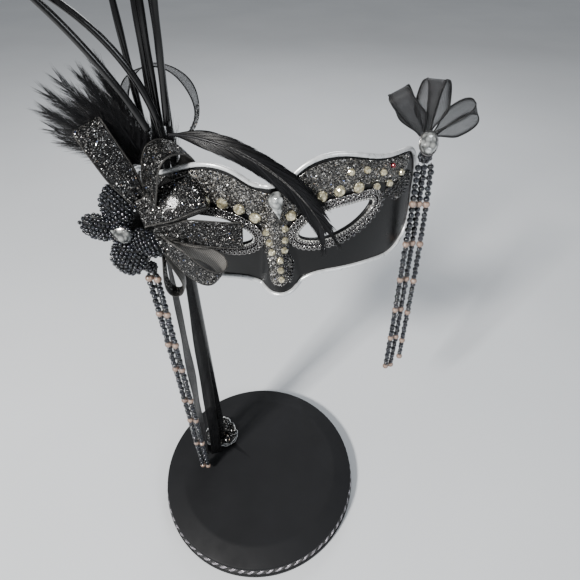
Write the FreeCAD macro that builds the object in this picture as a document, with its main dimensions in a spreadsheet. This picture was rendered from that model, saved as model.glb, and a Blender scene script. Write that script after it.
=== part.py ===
"""Black and silver half mask on a stick, standing in a round base. Lengths are in millimetres.

The origin is the centre of the base's underside, +Z is up and the mask looks along -Y.
The stick stands in a socket behind and to the left of the base's centre and carries the mask by
its left end. The mask is a shell wrapped on an upright cylinder, with a cone for the nose.
"""
import FreeCAD, Part
import Sketcher
import math
import os

V = FreeCAD.Vector
UP = V(0, 0, 1)

SIZES = {
    "base_radius": 101.0, "base_height": 22.0, "base_flat_radius": 82.5, "base_rim_drop": 5.0,
    "base_flange_radius": 103.0, "base_flange_height": 6.5, "base_cove_radius": 96.5,
    "base_cove_height": 7.0, "felt_thickness": 1.5, "felt_radius": 97.0,
    "rope_radius": 3.0, "rope_ring_radius": 99.6,
    "stick_x": -45.5, "stick_y": 35.6, "stick_radius": 4.75, "stick_top": 350.0,
    "socket_depth": 15.0, "socket_clearance": 0.05,
    "collar_radius": 19.0, "collar_height": 9.0, "collar_gap": 0.4, "collar_lift": 0.4,
    "mask_x": 24.5, "mask_y": 0.8, "mask_z": 335.0, "mask_roll": 4.5,
    "wrap_radius": 118.0, "wrap_half_angle": 56.0, "shell_thickness": 2.0, "band_height": 130.0,
    "nose_axis_depth": 3.0, "nose_foot_radius": 15.0, "nose_top_radius": 3.0,
    "nose_foot": -55.0, "nose_top": 45.0,
    "edge_cord": 3.0, "inner_trim_width": 3.6, "outer_trim_width": 4.6, "trim_height": 2.4,
    "trim_gap": 0.6, "coat_thickness": 0.4, "bead_field_height": 1.8,
    "large_stone_radius": 3.7, "small_stone_radius": 2.3, "accent_stone_radius": 1.6,
    "stone_height": 2.4,
    "stone_table_share": 0.6,
    "pear_length": 18.0, "pear_radius": 5.0, "pear_height": 4.2, "pear_lift": 0.9,
    "flower_crystal_length": 13.0, "flower_crystal_radius": 4.2, "flower_crystal_height": 4.0,
    "flower_crystal_lift": 5.0,
    "ribbon_thickness": 0.8, "bow_ribbon_thickness": 0.5,
    "petal_depth": 6.5, "petal_spacing": 1.5,
    "setting_tube": 1.3, "flower_setting_radius": 6.5,
    "core_radius": 9.5, "core_length": 26.0, "backing_radius": 15.0, "backing_thickness": 3.0,
    "backing_lift": 2.6, "patch_height": 34.0, "patch_thickness": 1.4,
    "quill_foot_radius": 2.1, "quill_tip_radius": 1.5, "quill_length": 205.0,
    "bow_crystal_length": 7.2, "bow_crystal_width": 5.4, "bow_crystal_depth": 3.0,
    "bow_setting_rim": 1.2, "bow_setting_reach": 30.0, "bow_setting_drop": 2.4,
    "knot_radius": 3.4, "bead_radius": 2.05, "pearl_radius": 2.7,
    "streamer_width": 10.5, "sheer_thickness": 0.5, "arch_width": 14.0,
    "feather_width": 11.0, "feather_thickness": 1.2,
    "tuft_length": 38.0, "tuft_width": 34.0, "tuft_depth": 8.0,
}

# Ribbon loops: where each leaves the bunch, which way it reaches, which way the ribbon is wide,
# and its length, half-opening and ribbon width.
GLITTER_LOOPS = {
    "ribbon_loop_upper_left": ((-56, 7, 348), (-0.41, 0.11, 0.87), (0.83, 0.37, 0.4), 54, 5, 17),
    "ribbon_loop_top": ((-51.5, 3, 349.5), (0.5, 0.25, 0.81), (0.76, -0.65, 0.08), 41, 14, 18),
    "ribbon_loop_middle": ((-56, -3, 348.5), (0.93, 0.24, 0.27), (-0.36, 0.63, 0.69), 40, 5, 22),
    "ribbon_loop_right": ((-49, -5, 337), (0.99, -0.06, 0.0), (0.0, 0.2, 0.97), 54, 3.5, 16),
    "ribbon_loop_lower_right": ((-47, -7, 333), (0.84, -0.12, -0.53), (0.6, -0.31, 0.74), 44, 9, 18),
    "ribbon_loop_bottom": ((-48, -1, 322), (0.2, -0.2, -0.96), (0.12, -0.95, 0.2), 33, 6.5, 13),
}
BOW_LOOPS = {
    "bow_loop_left": ((116.5, 39, 380), (-0.6, -0.02, 0.8), (0.75, -0.3, 0.6), 33, 6, 13),
    "bow_loop_middle": ((119.5, 40, 381), (-0.03, 0.03, 0.99), (0.9, -0.43, 0.0), 31, 5.5, 13),
    "bow_loop_right": ((123.5, 41, 379), (0.84, 0.1, 0.53), (-0.4, -0.35, 0.85), 28.5, 5, 14),
}

# The mask's outline and openings, right half, as x and height from the mask's middle.
OUTLINE_TOP = [(7, 31.2), (19, 39), (26, 42.5), (36, 43.8), (48, 41.3), (62, 35.3), (78, 30.6),
               (88, 27.8)]
OUTLINE_END = [(92.5, 20), (94, 0), (93.5, -23), (90, -36.5), (80, -44.5)]
OUTLINE_FOOT = [(66, -43), (48, -40), (32, -38), (20, -38.8), (10, -43)]
EYE = [(15, -5.5), (23, 4), (35, 8.5), (49, 8.5), (62, 5.5), (55, -3), (42, -9), (28, -11)]
COAT = [(10, 29.5), (20, 36.5), (34, 41), (50, 38.5), (66, 31.8), (80, 28.2), (88, 25.4), (84, 12),
        (66, 17.5), (50, 18.8), (34, 18.6), (20, 15), (8.5, 5), (8, -8), (6, -24), (4, -37)]
END_FIELD = [(72, 9), (80, 10), (89, 13), (90.5, 2), (84, -3), (75, 2)]
NOSE_FIELD = [(5.5, -15), (8.5, -19), (9, -29), (6.5, -38), (3.8, -29)]

LARGE_STONES = [(11, 10), (20, 16), (30, 19.5), (41, 20.5), (53, 19)]
SMALL_STONES = [(65, 15), (48, 31), (58, 29), (69, 23), (74, 13)]
END_STONES = [(82.5, 16)]
NOSE_STONES = [(-4.6, 1.2), (-3.4, -5.4), (-2.6, -12), (6, 2), (5.4, -5.5), (4.6, -12),
               (1.6, -18.2), (1.4, -25.6), (1.3, -32.6)]
RED_ACCENT = (75.5, 24.5)

FLOWER = V(-69.5, -1, 334)
FLOWER_FRONT = V(-0.1, -0.9, 0.42)

# Which way each petal lies in the flower's face, its half-length and its half-width.
PETALS = {
    "beaded_petal_left": (-1.0, 0.35, 13.5, 8.5),
    "beaded_petal_top": (-0.1, 1.0, 15.0, 10.5),
    "beaded_petal_bottom": (0.05, -1.0, 13.0, 13.0),
    "beaded_petal_right": (0.85, -0.5, 13.0, 8.5),
}
BOW = V(120, 34, 377)
BOW_FRONT = V(-0.1, -0.86, 0.5)

QUILLS = {
    "quill_1": ((-38, 28, 390.5), (-31.3, 26, 452)),
    "quill_2": ((-40.6, 35, 356), (-36.3, 32, 452)),
    "quill_3": ((-45.2, 35, 354), (-39.8, 32, 452)),
    "quill_4": ((-49.8, 36, 354), (-45.6, 33, 452)),
    "quill_5": ((-54.4, 38, 356), (-54, 34, 452)),
}
BENT_QUILLS = {
    "quill_6": ((-42, 26.5, 384), (-55, 23, 428), (-104, 16, 468)),
    "quill_7": ((-48, 21, 390), (-76, 14, 445), (-118, 8, 489)),
}

# Each bead string runs from its knot through the middles of its pearls.
RIGHT_KNOT = V(120.5, 37.5, 366.5)
RIGHT_STRINGS = {
    "right_bead_string_1": [(116.9, 37, 362), (118.6, 34.5, 333), (119.6, 34.5, 299),
                            (121.8, 36, 263), (123.8, 37, 228), (125.4, 37, 192), (126.8, 37, 151)],
    "right_bead_string_2": [(121.2, 38, 361.5), (123.7, 38.4, 331), (125.6, 39, 297),
                            (127.8, 40, 261), (129.6, 40.5, 226), (131.3, 40.5, 190),
                            (132.5, 40.5, 149)],
    "right_bead_string_3": [(125.6, 38, 362), (129.6, 40, 330), (131.6, 39, 296), (133.6, 38, 260),
                            (135.2, 38, 224), (136.8, 38, 187.5), (138, 38, 165)],
}
LEFT_KNOT = V(-57.5, -4, 309)
LEFT_PEARL_HEIGHTS = [301, 267, 233, 202, 157, 124, 81, 33]
LEFT_STRINGS = {"left_bead_string_1": (-60.2, -5.5, 0), "left_bead_string_2": (-54.8, -5.5, -1.5),
                "left_bead_string_3": (-57.5, -0.8, -3)}

for label, (_, _, _, length, radius, width) in {**GLITTER_LOOPS, **BOW_LOOPS}.items():
    SIZES[f"{label}_length"] = length
    SIZES[f"{label}_radius"] = radius
    SIZES[f"{label}_width"] = width

for label, (_, _, length, width) in PETALS.items():
    SIZES[f"{label}_length"] = length
    SIZES[f"{label}_width"] = width

doc = FreeCAD.newDocument("masquerade_mask")
sheet = doc.addObject("Spreadsheet::Sheet", "Sizes")
for row, (alias, value) in enumerate(SIZES.items(), start=1):
    sheet.set(f"A{row}", alias)
    sheet.set(f"B{row}", str(value))
    sheet.setAlias(f"B{row}", alias)
doc.recompute()

nodes = []


# ---------------------------------------------------------------- helpers

def size(alias):
    """The number held by a cell of the sheet."""
    return float(sheet.get(alias))


def bind(thing, **cells):
    """Binds each named property to an expression over the sheet's cells."""
    for name, expression in cells.items():
        thing.setExpression(name, expression)
    return thing


def add(kind, name, placement=None, **cells):
    """A new Part object with bound sizes."""
    thing = bind(doc.addObject(kind, name), **cells)
    if placement is not None:
        thing.Placement = placement
    return thing


def node(thing, label, placement=None):
    """Registers an object as a sub-part, with its label and its place."""
    thing.Label = label
    if placement is not None:
        thing.Placement = placement
    nodes.append(thing)
    return thing


def at(x, y, z):
    return FreeCAD.Placement(V(x, y, z), FreeCAD.Rotation())


def facing(origin, x_axis, z_axis):
    """A placement at origin whose X runs along x_axis and whose Z is as near z_axis as it can be."""
    turn = FreeCAD.Rotation(V(*x_axis), V(0, 0, 0), V(*z_axis), "XZY")
    return FreeCAD.Placement(V(*origin), turn)


def upright(origin, z_axis):
    """A placement at origin whose Z runs along z_axis."""
    return FreeCAD.Placement(V(*origin), FreeCAD.Rotation(UP, V(*z_axis)))


def fuse(name, base, tool):
    joined = doc.addObject("Part::Fuse", name)
    joined.Base = base
    joined.Tool = tool
    return joined


def cut(name, base, tool):
    remainder = doc.addObject("Part::Cut", name)
    remainder.Base = base
    remainder.Tool = tool
    return remainder


def group(name, pieces):
    """Separate solids that share one node."""
    compound = doc.addObject("Part::Compound", name)
    compound.Links = pieces
    return node(compound, name)


def new_body(name):
    return doc.addObject("PartDesign::Body", name + "_body")


def sketch_on(body, role, name):
    """A sketch on one of the body's own origin planes."""
    sketch = body.newObject("Sketcher::SketchObject", name)
    plane = next(f for f in body.Origin.OriginFeatures if f.Role == role)
    sketch.AttachmentSupport = (plane, [""])
    sketch.MapMode = "FlatFace"
    return sketch


def rule(sketch, constraint, expression):
    """Adds a dimension to a sketch and binds it to the sheet."""
    index = sketch.addConstraint(constraint)
    sketch.setExpression(f"Constraints[{index}]", expression)


def pad(body, sketch, length, symmetric=False):
    feature = body.newObject("PartDesign::Pad", sketch.Name + "_pad")
    feature.Profile = sketch
    if symmetric:
        feature.SideType = "Symmetric"
    return bind(feature, Length=length)


def pocket_through(body, sketch):
    """Cuts a sketch right through the body, both ways."""
    feature = body.newObject("PartDesign::Pocket", sketch.Name + "_pocket")
    feature.Profile = sketch
    feature.SideType = "Symmetric"
    feature.Type = "ThroughAll"
    return feature


def polygon(sketch, points):
    """A closed run of straight lines through the points."""
    for first, second in zip(points, points[1:] + points[:1]):
        sketch.addGeometry(Part.LineSegment(V(*first, 0), V(*second, 0)))


def smooth(sketch, points):
    """A closed smooth curve through the points."""
    curve = Part.BSplineCurve()
    curve.interpolate([V(x, y, 0) for x, y in points], PeriodicFlag=True)
    sketch.addGeometry(curve)


def circle(sketch, radius_cell):
    """A circle on the sketch's origin, with its radius bound to a cell."""
    index = sketch.addGeometry(Part.Circle(V(0, 0, 0), UP, size(radius_cell)))
    sketch.addConstraint(Sketcher.Constraint("Coincident", index, 3, -1, 1))
    rule(sketch, Sketcher.Constraint("Radius", index, size(radius_cell)), f"Sizes.{radius_cell}")


def teardrop(sketch, length, radius, apex=0.0, cells=None):
    """A teardrop from its point on the X axis to a round end: two tangent lines and an arc.

    cells holds the expressions of the arc's centre, its radius and the point's place.
    """
    centre = length - radius
    sweep = math.pi / 2 + math.asin(radius / (centre - apex))
    start = V(centre + radius * math.cos(sweep), radius * math.sin(sweep), 0)
    first = sketch.addGeometry(Part.LineSegment(V(apex, 0, 0), start))
    round_end = Part.ArcOfCircle(Part.Circle(V(centre, 0, 0), UP, radius), -sweep, sweep)
    arc = sketch.addGeometry(round_end)
    last = sketch.addGeometry(Part.LineSegment(V(start.x, -start.y, 0), V(apex, 0, 0)))
    fixed = Sketcher.Constraint
    sketch.addConstraint([
        fixed("Tangent", first, 2, arc, 2), fixed("Tangent", arc, 1, last, 1),
        fixed("Coincident", last, 2, first, 1), fixed("PointOnObject", arc, 3, -1)])
    rule(sketch, fixed("DistanceX", arc, 3, centre), cells[0])
    rule(sketch, fixed("Radius", arc, radius), cells[1])
    if apex:
        sketch.addConstraint(fixed("PointOnObject", first, 1, -1))
        rule(sketch, fixed("DistanceX", first, 1, apex), cells[2])
    else:
        sketch.addConstraint(fixed("Coincident", first, 1, -1, 1))


def swept(name, path, section):
    """A plain Part::Feature made by sweeping a closed section along a path."""
    feature = doc.addObject("Part::Feature", name)
    feature.Shape = path.makePipeShell([section], True, False)
    return node(feature, name)


def arc_path(start, middle, end):
    return Part.Wire([Part.Arc(V(*start), V(*middle), V(*end)).toShape()])


def band_section(path, wide, width, thickness):
    """A thin rectangle across the start of a path, wide along the given direction."""
    edge = path.Edges[0]
    along = edge.tangentAt(edge.FirstParameter)
    flat = along.cross(V(*wide)).normalize()
    across = flat.cross(along).normalize()
    centre = edge.valueAt(edge.FirstParameter)
    corners = [centre + across * (a * width / 2) + flat * (b * thickness / 2)
               for a, b in ((-1, -1), (1, -1), (1, 1), (-1, 1), (-1, -1))]
    return Part.makePolygon(corners)


# ---------------------------------------------------------------- base, collar and stick

def make_base():
    """The turned plaque with its cove, the socket for the stick, the rope trim and the felt."""
    body = new_body("base_plaque")
    profile = sketch_on(body, "XZ_Plane", "plaque_profile")
    floor, top = size("felt_thickness"), size("base_height")
    flange, cove = size("base_flange_height"), size("base_cove_height")
    rim = top - size("base_rim_drop")
    outer, inner = size("base_radius"), size("base_cove_radius")
    polygon(profile, [
        (0, floor), (size("base_flange_radius"), floor), (size("base_flange_radius"), flange),
        (inner, flange), (inner, flange + cove), (outer, flange + cove), (outer, rim),
        (size("base_flat_radius"), top), (0, top)])
    turning = body.newObject("PartDesign::Revolution", "plaque_turning")
    turning.Profile = profile
    turning.ReferenceAxis = (profile, ["V_Axis"])
    turning.Angle = 360
    doc.recompute()
    solid_plaque = body.Shape.Volume
    socket = body.newObject("PartDesign::SubtractiveCylinder", "stick_socket")
    bind(socket, Radius="Sizes.stick_radius + Sizes.socket_clearance",
         Height="Sizes.socket_depth + 1")
    socket.Placement = at(size("stick_x"), size("stick_y"), top - size("socket_depth"))
    doc.recompute()
    assert body.Shape.Volume < solid_plaque, "the socket cuts nothing"
    node(body, "base_plaque")

    rope = add("Part::Torus", "rope", Radius1="Sizes.rope_ring_radius", Radius2="Sizes.rope_radius")
    node(rope, "base_rope_trim", at(0, 0, flange + cove / 2))
    body = new_body("base_felt_pad")
    disc = sketch_on(body, "XY_Plane", "felt_disc")
    circle(disc, "felt_radius")
    pad(body, disc, "Sizes.felt_thickness")
    node(body, "base_felt_pad")


def make_collar():
    """The ribbon ruffle that stands loose round the foot of the stick."""
    ruffle = add("Part::Cone", "ruffle_outer", Radius1="Sizes.collar_radius",
                 Radius2="Sizes.collar_radius * 0.7", Height="Sizes.collar_height")
    bore = add("Part::Cylinder", "ruffle_bore", at(0, 0, -1),
               Radius="Sizes.stick_radius + Sizes.collar_gap", Height="Sizes.collar_height + 2")
    node(cut("ruffle", ruffle, bore), "foot_ruffle",
         at(size("stick_x"), size("stick_y"), size("base_height") + size("collar_lift")))


def make_stick():
    """The dowel, and the leather patch that holds its upper end to the back of the mask."""
    body = new_body("stick")
    section = sketch_on(body, "XY_Plane", "stick_section")
    circle(section, "stick_radius")
    pad(body, section, "Sizes.stick_top - Sizes.base_height + Sizes.socket_depth - 0.5")
    foot = size("base_height") - size("socket_depth") + 0.5
    node(body, "stick", at(size("stick_x"), size("stick_y"), foot))
    wrap = size("wrap_radius")
    strap = add("Part::Cylinder", "strap_outer", Height="Sizes.patch_height",
                Radius="Sizes.stick_radius + Sizes.patch_thickness")
    bore = add("Part::Cylinder", "strap_bore", Height="Sizes.patch_height",
               Radius="Sizes.stick_radius + Sizes.socket_clearance")
    hollow = add("Part::Cylinder", "mask_back", Height="Sizes.patch_height",
                 Radius="Sizes.wrap_radius - Sizes.shell_thickness - 0.1")
    hollow.Placement = at(size("mask_x") - size("stick_x"), size("mask_y") + wrap - size("stick_y"), 0)
    patch = doc.addObject("Part::Common", "strap_patch")
    patch.Base = cut("strap_ring", strap, bore)
    patch.Tool = hollow
    patch_foot = size("stick_top") - size("patch_height") - 6
    node(patch, "stick_mount_patch", at(size("stick_x"), size("stick_y"), patch_foot))


# ---------------------------------------------------------------- mask

def mask_place():
    turn = FreeCAD.Rotation(V(0, 1, 0), -size("mask_roll"))
    return FreeCAD.Placement(V(size("mask_x"), size("mask_y"), size("mask_z")), turn)


def nose_radius(height):
    """The nose cone's radius at a height from the mask's middle."""
    share = (height - size("nose_foot")) / (size("nose_top") - size("nose_foot"))
    return size("nose_foot_radius") + share * (size("nose_top_radius") - size("nose_foot_radius"))


def front_depth(x, height):
    """How far behind the brow the mask's front face lies."""
    wrap = size("wrap_radius")
    depth = wrap - math.sqrt(wrap ** 2 - x ** 2)
    nose = nose_radius(height)
    if abs(x) < nose:
        depth = min(depth, size("nose_axis_depth") - math.sqrt(nose ** 2 - x ** 2))
    return depth


def front_place(x, height, lift=0.0):
    """A placement on the mask's front face whose Z is the face's outward normal."""
    step = 0.5
    across = V(2 * step, front_depth(x + step, height) - front_depth(x - step, height), 0)
    along = V(0, front_depth(x, height + step) - front_depth(x, height - step), 2 * step)
    normal = across.cross(along).normalize()
    spot = V(x, front_depth(x, height), height) + normal * lift
    return mask_place().multiply(facing(spot, along, normal))


def both_sides(right_half, ends_on_axis=()):
    """A closed outline from its right half, in order from the top to the foot."""
    left_half = [(-x, z) for x, z in reversed(right_half)]
    return [*ends_on_axis[:1], *right_half, *ends_on_axis[1:], *left_half]


def mask_outline():
    return both_sides(OUTLINE_TOP + OUTLINE_END + OUTLINE_FOOT, ((0, 31), (0, -44)))


def mirrored(points):
    return [(-x, z) for x, z in reversed(points)]


def grown(points, distance):
    """The closed outline moved outwards; its points run clockwise seen from the front."""
    moved = []
    for index, (x, z) in enumerate(points):
        before, after = points[index - 1], points[(index + 1) % len(points)]
        dx, dz = after[0] - before[0], after[1] - before[1]
        length = math.hypot(dx, dz)
        moved.append((x - dz / length * distance, z + dx / length * distance))
    return moved


def make_shell():
    """The thin curved shell: a band of the wrap cylinder with a hollow cone for the nose."""
    body = new_body("mask_shell")
    section = sketch_on(body, "XY_Plane", "wrap_section")
    wrap, thick = size("wrap_radius"), size("shell_thickness")
    half = math.radians(size("wrap_half_angle"))
    faces = [Part.ArcOfCircle(Part.Circle(V(0, wrap, 0), UP, radius), -math.pi / 2 - half,
                              -math.pi / 2 + half) for radius in (wrap, wrap - thick)]
    for face in faces:
        section.addGeometry(face)
    section.addGeometry(Part.LineSegment(faces[0].StartPoint, faces[1].StartPoint))
    section.addGeometry(Part.LineSegment(faces[0].EndPoint, faces[1].EndPoint))
    pad(body, section, "Sizes.band_height", symmetric=True)
    for kind, less in (("Additive", "0"), ("Subtractive", "Sizes.shell_thickness")):
        cone = body.newObject(f"PartDesign::{kind}Cone", f"nose_{kind}")
        bind(cone, Radius1=f"Sizes.nose_foot_radius - {less}",
             Radius2=f"Sizes.nose_top_radius - {less}", Height="Sizes.nose_top - Sizes.nose_foot")
        cone.Placement = at(0, size("nose_axis_depth"), size("nose_foot"))
    hollow = body.newObject("PartDesign::SubtractiveCylinder", "mask_hollow")
    bind(hollow, Radius="Sizes.wrap_radius - Sizes.shell_thickness", Height="Sizes.band_height + 2")
    hollow.Placement = at(0, wrap, -size("band_height") / 2 - 1)
    outline = sketch_on(body, "XZ_Plane", "mask_outline")
    reach = size("band_height")
    polygon(outline, [(-reach, -reach), (reach, -reach), (reach, reach), (-reach, reach)])
    smooth(outline, mask_outline())
    pocket_through(body, outline)
    eyes = sketch_on(body, "XZ_Plane", "eye_holes")
    smooth(eyes, EYE)
    smooth(eyes, mirrored(EYE))
    pocket_through(body, eyes)
    node(body, "mask_shell", mask_place())


def wrap_solid(name, lift):
    """The wrap cylinder with its nose cone, both grown outwards by a lift expression."""
    reach = size("band_height")
    cylinder = add("Part::Cylinder", name + "_wrap", at(0, size("wrap_radius"), -reach / 2),
                   Radius=f"Sizes.wrap_radius + {lift}", Height="Sizes.band_height")
    cone = add("Part::Cone", name + "_cone", at(0, size("nose_axis_depth"), size("nose_foot")),
               Radius1=f"Sizes.nose_foot_radius + {lift}", Radius2=f"Sizes.nose_top_radius + {lift}",
               Height="Sizes.nose_top - Sizes.nose_foot")
    return fuse(name, cylinder, cone)


def wrapped(label, curves, low, high):
    """A patch of the mask's curved layer between two lifts, inside the closed curves."""
    layer = cut(label + "_layer", wrap_solid(label + "_high", high), wrap_solid(label + "_low", low))
    sketch = doc.addObject("Sketcher::SketchObject", label + "_outline")
    reach = size("band_height") / 2
    sketch.Placement = FreeCAD.Placement(V(0, -reach, 0), FreeCAD.Rotation(V(1, 0, 0), 90))
    for curve in curves:
        smooth(sketch, curve)
    prism = doc.addObject("Part::Extrusion", label + "_prism")
    prism.Base = sketch
    prism.DirMode = "Custom"
    prism.Dir = V(0, 1, 0)
    prism.LengthFwd = 2 * reach
    prism.Solid = True
    patch = doc.addObject("Part::Common", label + "_patch")
    patch.Base = layer
    patch.Tool = prism
    return node(patch, label, mask_place())


def make_trims():
    """The silver cord round the mask's edge and the two rows of trim round each eye."""
    outline = mask_outline()
    wrapped("mask_edge_cord", [outline, grown(outline, size("edge_cord"))],
            "-Sizes.shell_thickness", "Sizes.edge_cord - Sizes.shell_thickness")
    first, second = size("inner_trim_width"), size("outer_trim_width")
    gap = size("trim_gap")
    for side, eye in (("right", EYE), ("left", mirrored(EYE))):
        wrapped(f"{side}_eye_inner_trim", [grown(eye, gap), grown(eye, first)],
                "0", "Sizes.trim_height")
        wrapped(f"{side}_eye_outer_trim", [grown(eye, first + gap), grown(eye, first + second)],
                "0", "Sizes.trim_height")


def make_coats():
    """The glitter over the brow and nose, and the two fields of tiny beads."""
    wrapped("glitter_coat", [both_sides(COAT)], "0", "Sizes.coat_thickness")
    wrapped("bead_field_end", [END_FIELD], "0", "Sizes.bead_field_height")
    wrapped("bead_field_nose", [NOSE_FIELD], "Sizes.coat_thickness", "Sizes.bead_field_height")


def flat_backs(label, spots, radius_cell):
    """Round flat-backed stones standing on the mask's face."""
    stones = []
    for index, (x, z) in enumerate(spots):
        place = front_place(x, z, size("coat_thickness"))
        stones.append(add("Part::Cone", f"{label}_{index}", place, Radius1=f"Sizes.{radius_cell}",
                          Radius2=f"Sizes.{radius_cell} * Sizes.stone_table_share",
                          Height="Sizes.stone_height"))
    return stones


def pear(label, length_cell, radius_cell, height_cell, placement):
    """A pear-shaped flat-backed crystal, from its point along X to its round end."""
    body = new_body(label)
    sketch = sketch_on(body, "XY_Plane", label + "_girdle")
    teardrop(sketch, size(length_cell), size(radius_cell),
             cells=(f"Sizes.{length_cell} - Sizes.{radius_cell}", f"Sizes.{radius_cell}"))
    pad(body, sketch, f"Sizes.{height_cell}")
    node(body, label, placement)


def make_stones():
    large = LARGE_STONES + mirrored(LARGE_STONES)
    small = SMALL_STONES + END_STONES + mirrored(SMALL_STONES)
    group("brow_stones_large", flat_backs("large_stone", large, "large_stone_radius"))
    group("brow_stones_small", flat_backs("small_stone", small, "small_stone_radius"))
    group("nose_stones", flat_backs("nose_stone", NOSE_STONES, "small_stone_radius"))
    accent = flat_backs("accent_stone", [RED_ACCENT], "accent_stone_radius")[0]
    node(accent, "red_accent_stone")
    seat = front_place(2.6, 19.5, size("coat_thickness") + size("pear_lift"))
    back = at(size("pear_length") / 2, 0, 0)
    turned = FreeCAD.Placement(V(0, 0, 0), FreeCAD.Rotation(UP, 180)).multiply(back.inverse())
    pear("forehead_crystal", "pear_length", "pear_radius", "pear_height", seat.multiply(turned))


# ---------------------------------------------------------------- left rosette

def ribbon_loop(label, start, reach, wide, thickness_cell):
    """A loop of stiff ribbon: a teardrop-shaped band, from its bunched end to its round end."""
    body = new_body(label)
    sketch = sketch_on(body, "XY_Plane", label + "_band")
    length, radius, thick = size(f"{label}_length"), size(f"{label}_radius"), size(thickness_cell)
    centre = f"Sizes.{label}_length - Sizes.{label}_radius"
    teardrop(sketch, length, radius, cells=(centre, f"Sizes.{label}_radius"))
    inner = (centre, f"Sizes.{label}_radius - Sizes.{thickness_cell}",
             f"Sizes.{thickness_cell} * ({centre}) / Sizes.{label}_radius")
    teardrop(sketch, length - thick, radius - thick, thick * (length - radius) / radius, inner)
    pad(body, sketch, f"Sizes.{label}_width", symmetric=True)
    node(body, label, facing(start, reach, wide))


def make_rosette():
    """Felt backing and core on the mask, six glitter ribbon loops and the beaded flower."""
    anchor = front_place(-78, 0)
    backing = add("Part::Cylinder", "backing", Radius="Sizes.backing_radius",
                  Height="Sizes.backing_thickness")
    lift = size("backing_lift")
    node(backing, "rosette_backing", anchor.multiply(at(0, 0, lift)))
    core = add("Part::Cylinder", "core", Radius="Sizes.core_radius", Height="Sizes.core_length")
    node(core, "rosette_core", anchor.multiply(at(0, 0, lift + size("backing_thickness"))))
    for label, (start, reach, wide, *_) in GLITTER_LOOPS.items():
        ribbon_loop(label, start, reach, wide, "ribbon_thickness")

    face = facing(FLOWER, (1, 0, 0.1), FLOWER_FRONT)
    for label, (right, up, *_) in PETALS.items():
        outward = V(right, up, 0).normalize() * (size(f"{label}_length") + size("petal_spacing"))
        petal = add("Part::Ellipsoid", label + "_form", Radius1="Sizes.petal_depth",
                    Radius2=f"Sizes.{label}_length", Radius3=f"Sizes.{label}_width")
        angle = FreeCAD.Rotation(V(1, 0, 0), V(right, up, 0))
        node(petal, label, face.multiply(FreeCAD.Placement(outward, angle)))
    ring = add("Part::Torus", "flower_ring", Radius1="Sizes.flower_setting_radius",
               Radius2="Sizes.setting_tube")
    lifted = size("flower_crystal_lift")
    node(ring, "flower_crystal_setting", face.multiply(at(0, 0, lifted)))
    tilt = FreeCAD.Placement(V(0, 0, lifted), FreeCAD.Rotation(UP, -30))
    shift = at(-size("flower_crystal_length") / 2, 0, 0)
    pear("flower_crystal", "flower_crystal_length", "flower_crystal_radius",
         "flower_crystal_height", face.multiply(tilt).multiply(shift))


def make_plumes():
    """The quills behind the rosette, the feathers and the sheer ribbons."""
    for label, (foot, through) in QUILLS.items():
        quill = add("Part::Cone", label + "_form", Radius1="Sizes.quill_foot_radius",
                    Radius2="Sizes.quill_tip_radius", Height="Sizes.quill_length")
        node(quill, label, upright(foot, V(*through) - V(*foot)))
    for label, (start, middle, end) in BENT_QUILLS.items():
        path = arc_path(start, middle, end)
        along = path.Edges[0].tangentAt(path.Edges[0].FirstParameter)
        ring = Part.Circle(V(*start), along, size("quill_foot_radius"))
        swept(label, path, Part.Wire([ring.toShape()]))
    tuft = add("Part::Ellipsoid", "tuft", Radius1="Sizes.tuft_length", Radius2="Sizes.tuft_width",
               Radius3="Sizes.tuft_depth")
    node(tuft, "hackle_tuft", at(-86, 26, 392))
    bands = {
        "drape_feather_long": ((-34, 13, 391), (24, -6, 378), (61.5, -3, 314), (0, 0.25, 1),
                               "feather_width", "feather_thickness"),
        "drape_feather_short": ((-33, 17, 389.5), (21, -2, 380.5), (57.5, -2, 344), (0, 0.25, 1),
                                "feather_width", "feather_thickness"),
        "organza_arch": ((-65, 41.5, 397), (-41, 42.5, 419), (-27, 37, 383), (0.1, 1, 0.3),
                         "arch_width", "sheer_thickness"),
        "streamer_1": ((-53, 18, 300), (-58, 21, 160), (-61, 14, 26), (0.8, -0.6, 0),
                       "streamer_width", "sheer_thickness"),
        "streamer_2": ((-41, 18, 300), (-45.5, 21, 160), (-48, 12, 26), (0.85, 0.5, 0),
                       "streamer_width", "sheer_thickness"),
    }
    for label, (start, middle, end, wide, width, thickness) in bands.items():
        path = arc_path(start, middle, end)
        swept(label, path, band_section(path, wide, size(width), size(thickness)))


# ---------------------------------------------------------------- right bow and the two tassels

def make_bow():
    """Three sheer loops fanned above an oval crystal at the mask's right end."""
    for label, (start, reach, wide, *_) in BOW_LOOPS.items():
        ribbon_loop(label, start, reach, wide, "bow_ribbon_thickness")
    seat = facing(BOW, (1, 0, 0), BOW_FRONT)
    crystal = add("Part::Ellipsoid", "oval", Radius1="Sizes.bow_crystal_depth",
                  Radius2="Sizes.bow_crystal_width", Radius3="Sizes.bow_crystal_length")
    node(crystal, "bow_crystal", seat)
    plate = add("Part::Ellipsoid", "oval_plate", Radius1="Sizes.bow_crystal_depth",
                Radius2="Sizes.bow_crystal_width + Sizes.bow_setting_rim",
                Radius3="Sizes.bow_crystal_length + Sizes.bow_setting_rim")
    reach = size("bow_setting_reach")
    behind = add("Part::Box", "plate_half", at(-reach / 2, -reach / 2, -reach - 1),
                 Length="Sizes.bow_setting_reach", Width="Sizes.bow_setting_reach",
                 Height="Sizes.bow_setting_reach")
    half_plate = doc.addObject("Part::Common", "setting_plate")
    half_plate.Base = plate
    half_plate.Tool = behind
    node(half_plate, "bow_crystal_setting", seat.multiply(at(0, 0, -size("bow_setting_drop"))))


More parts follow.
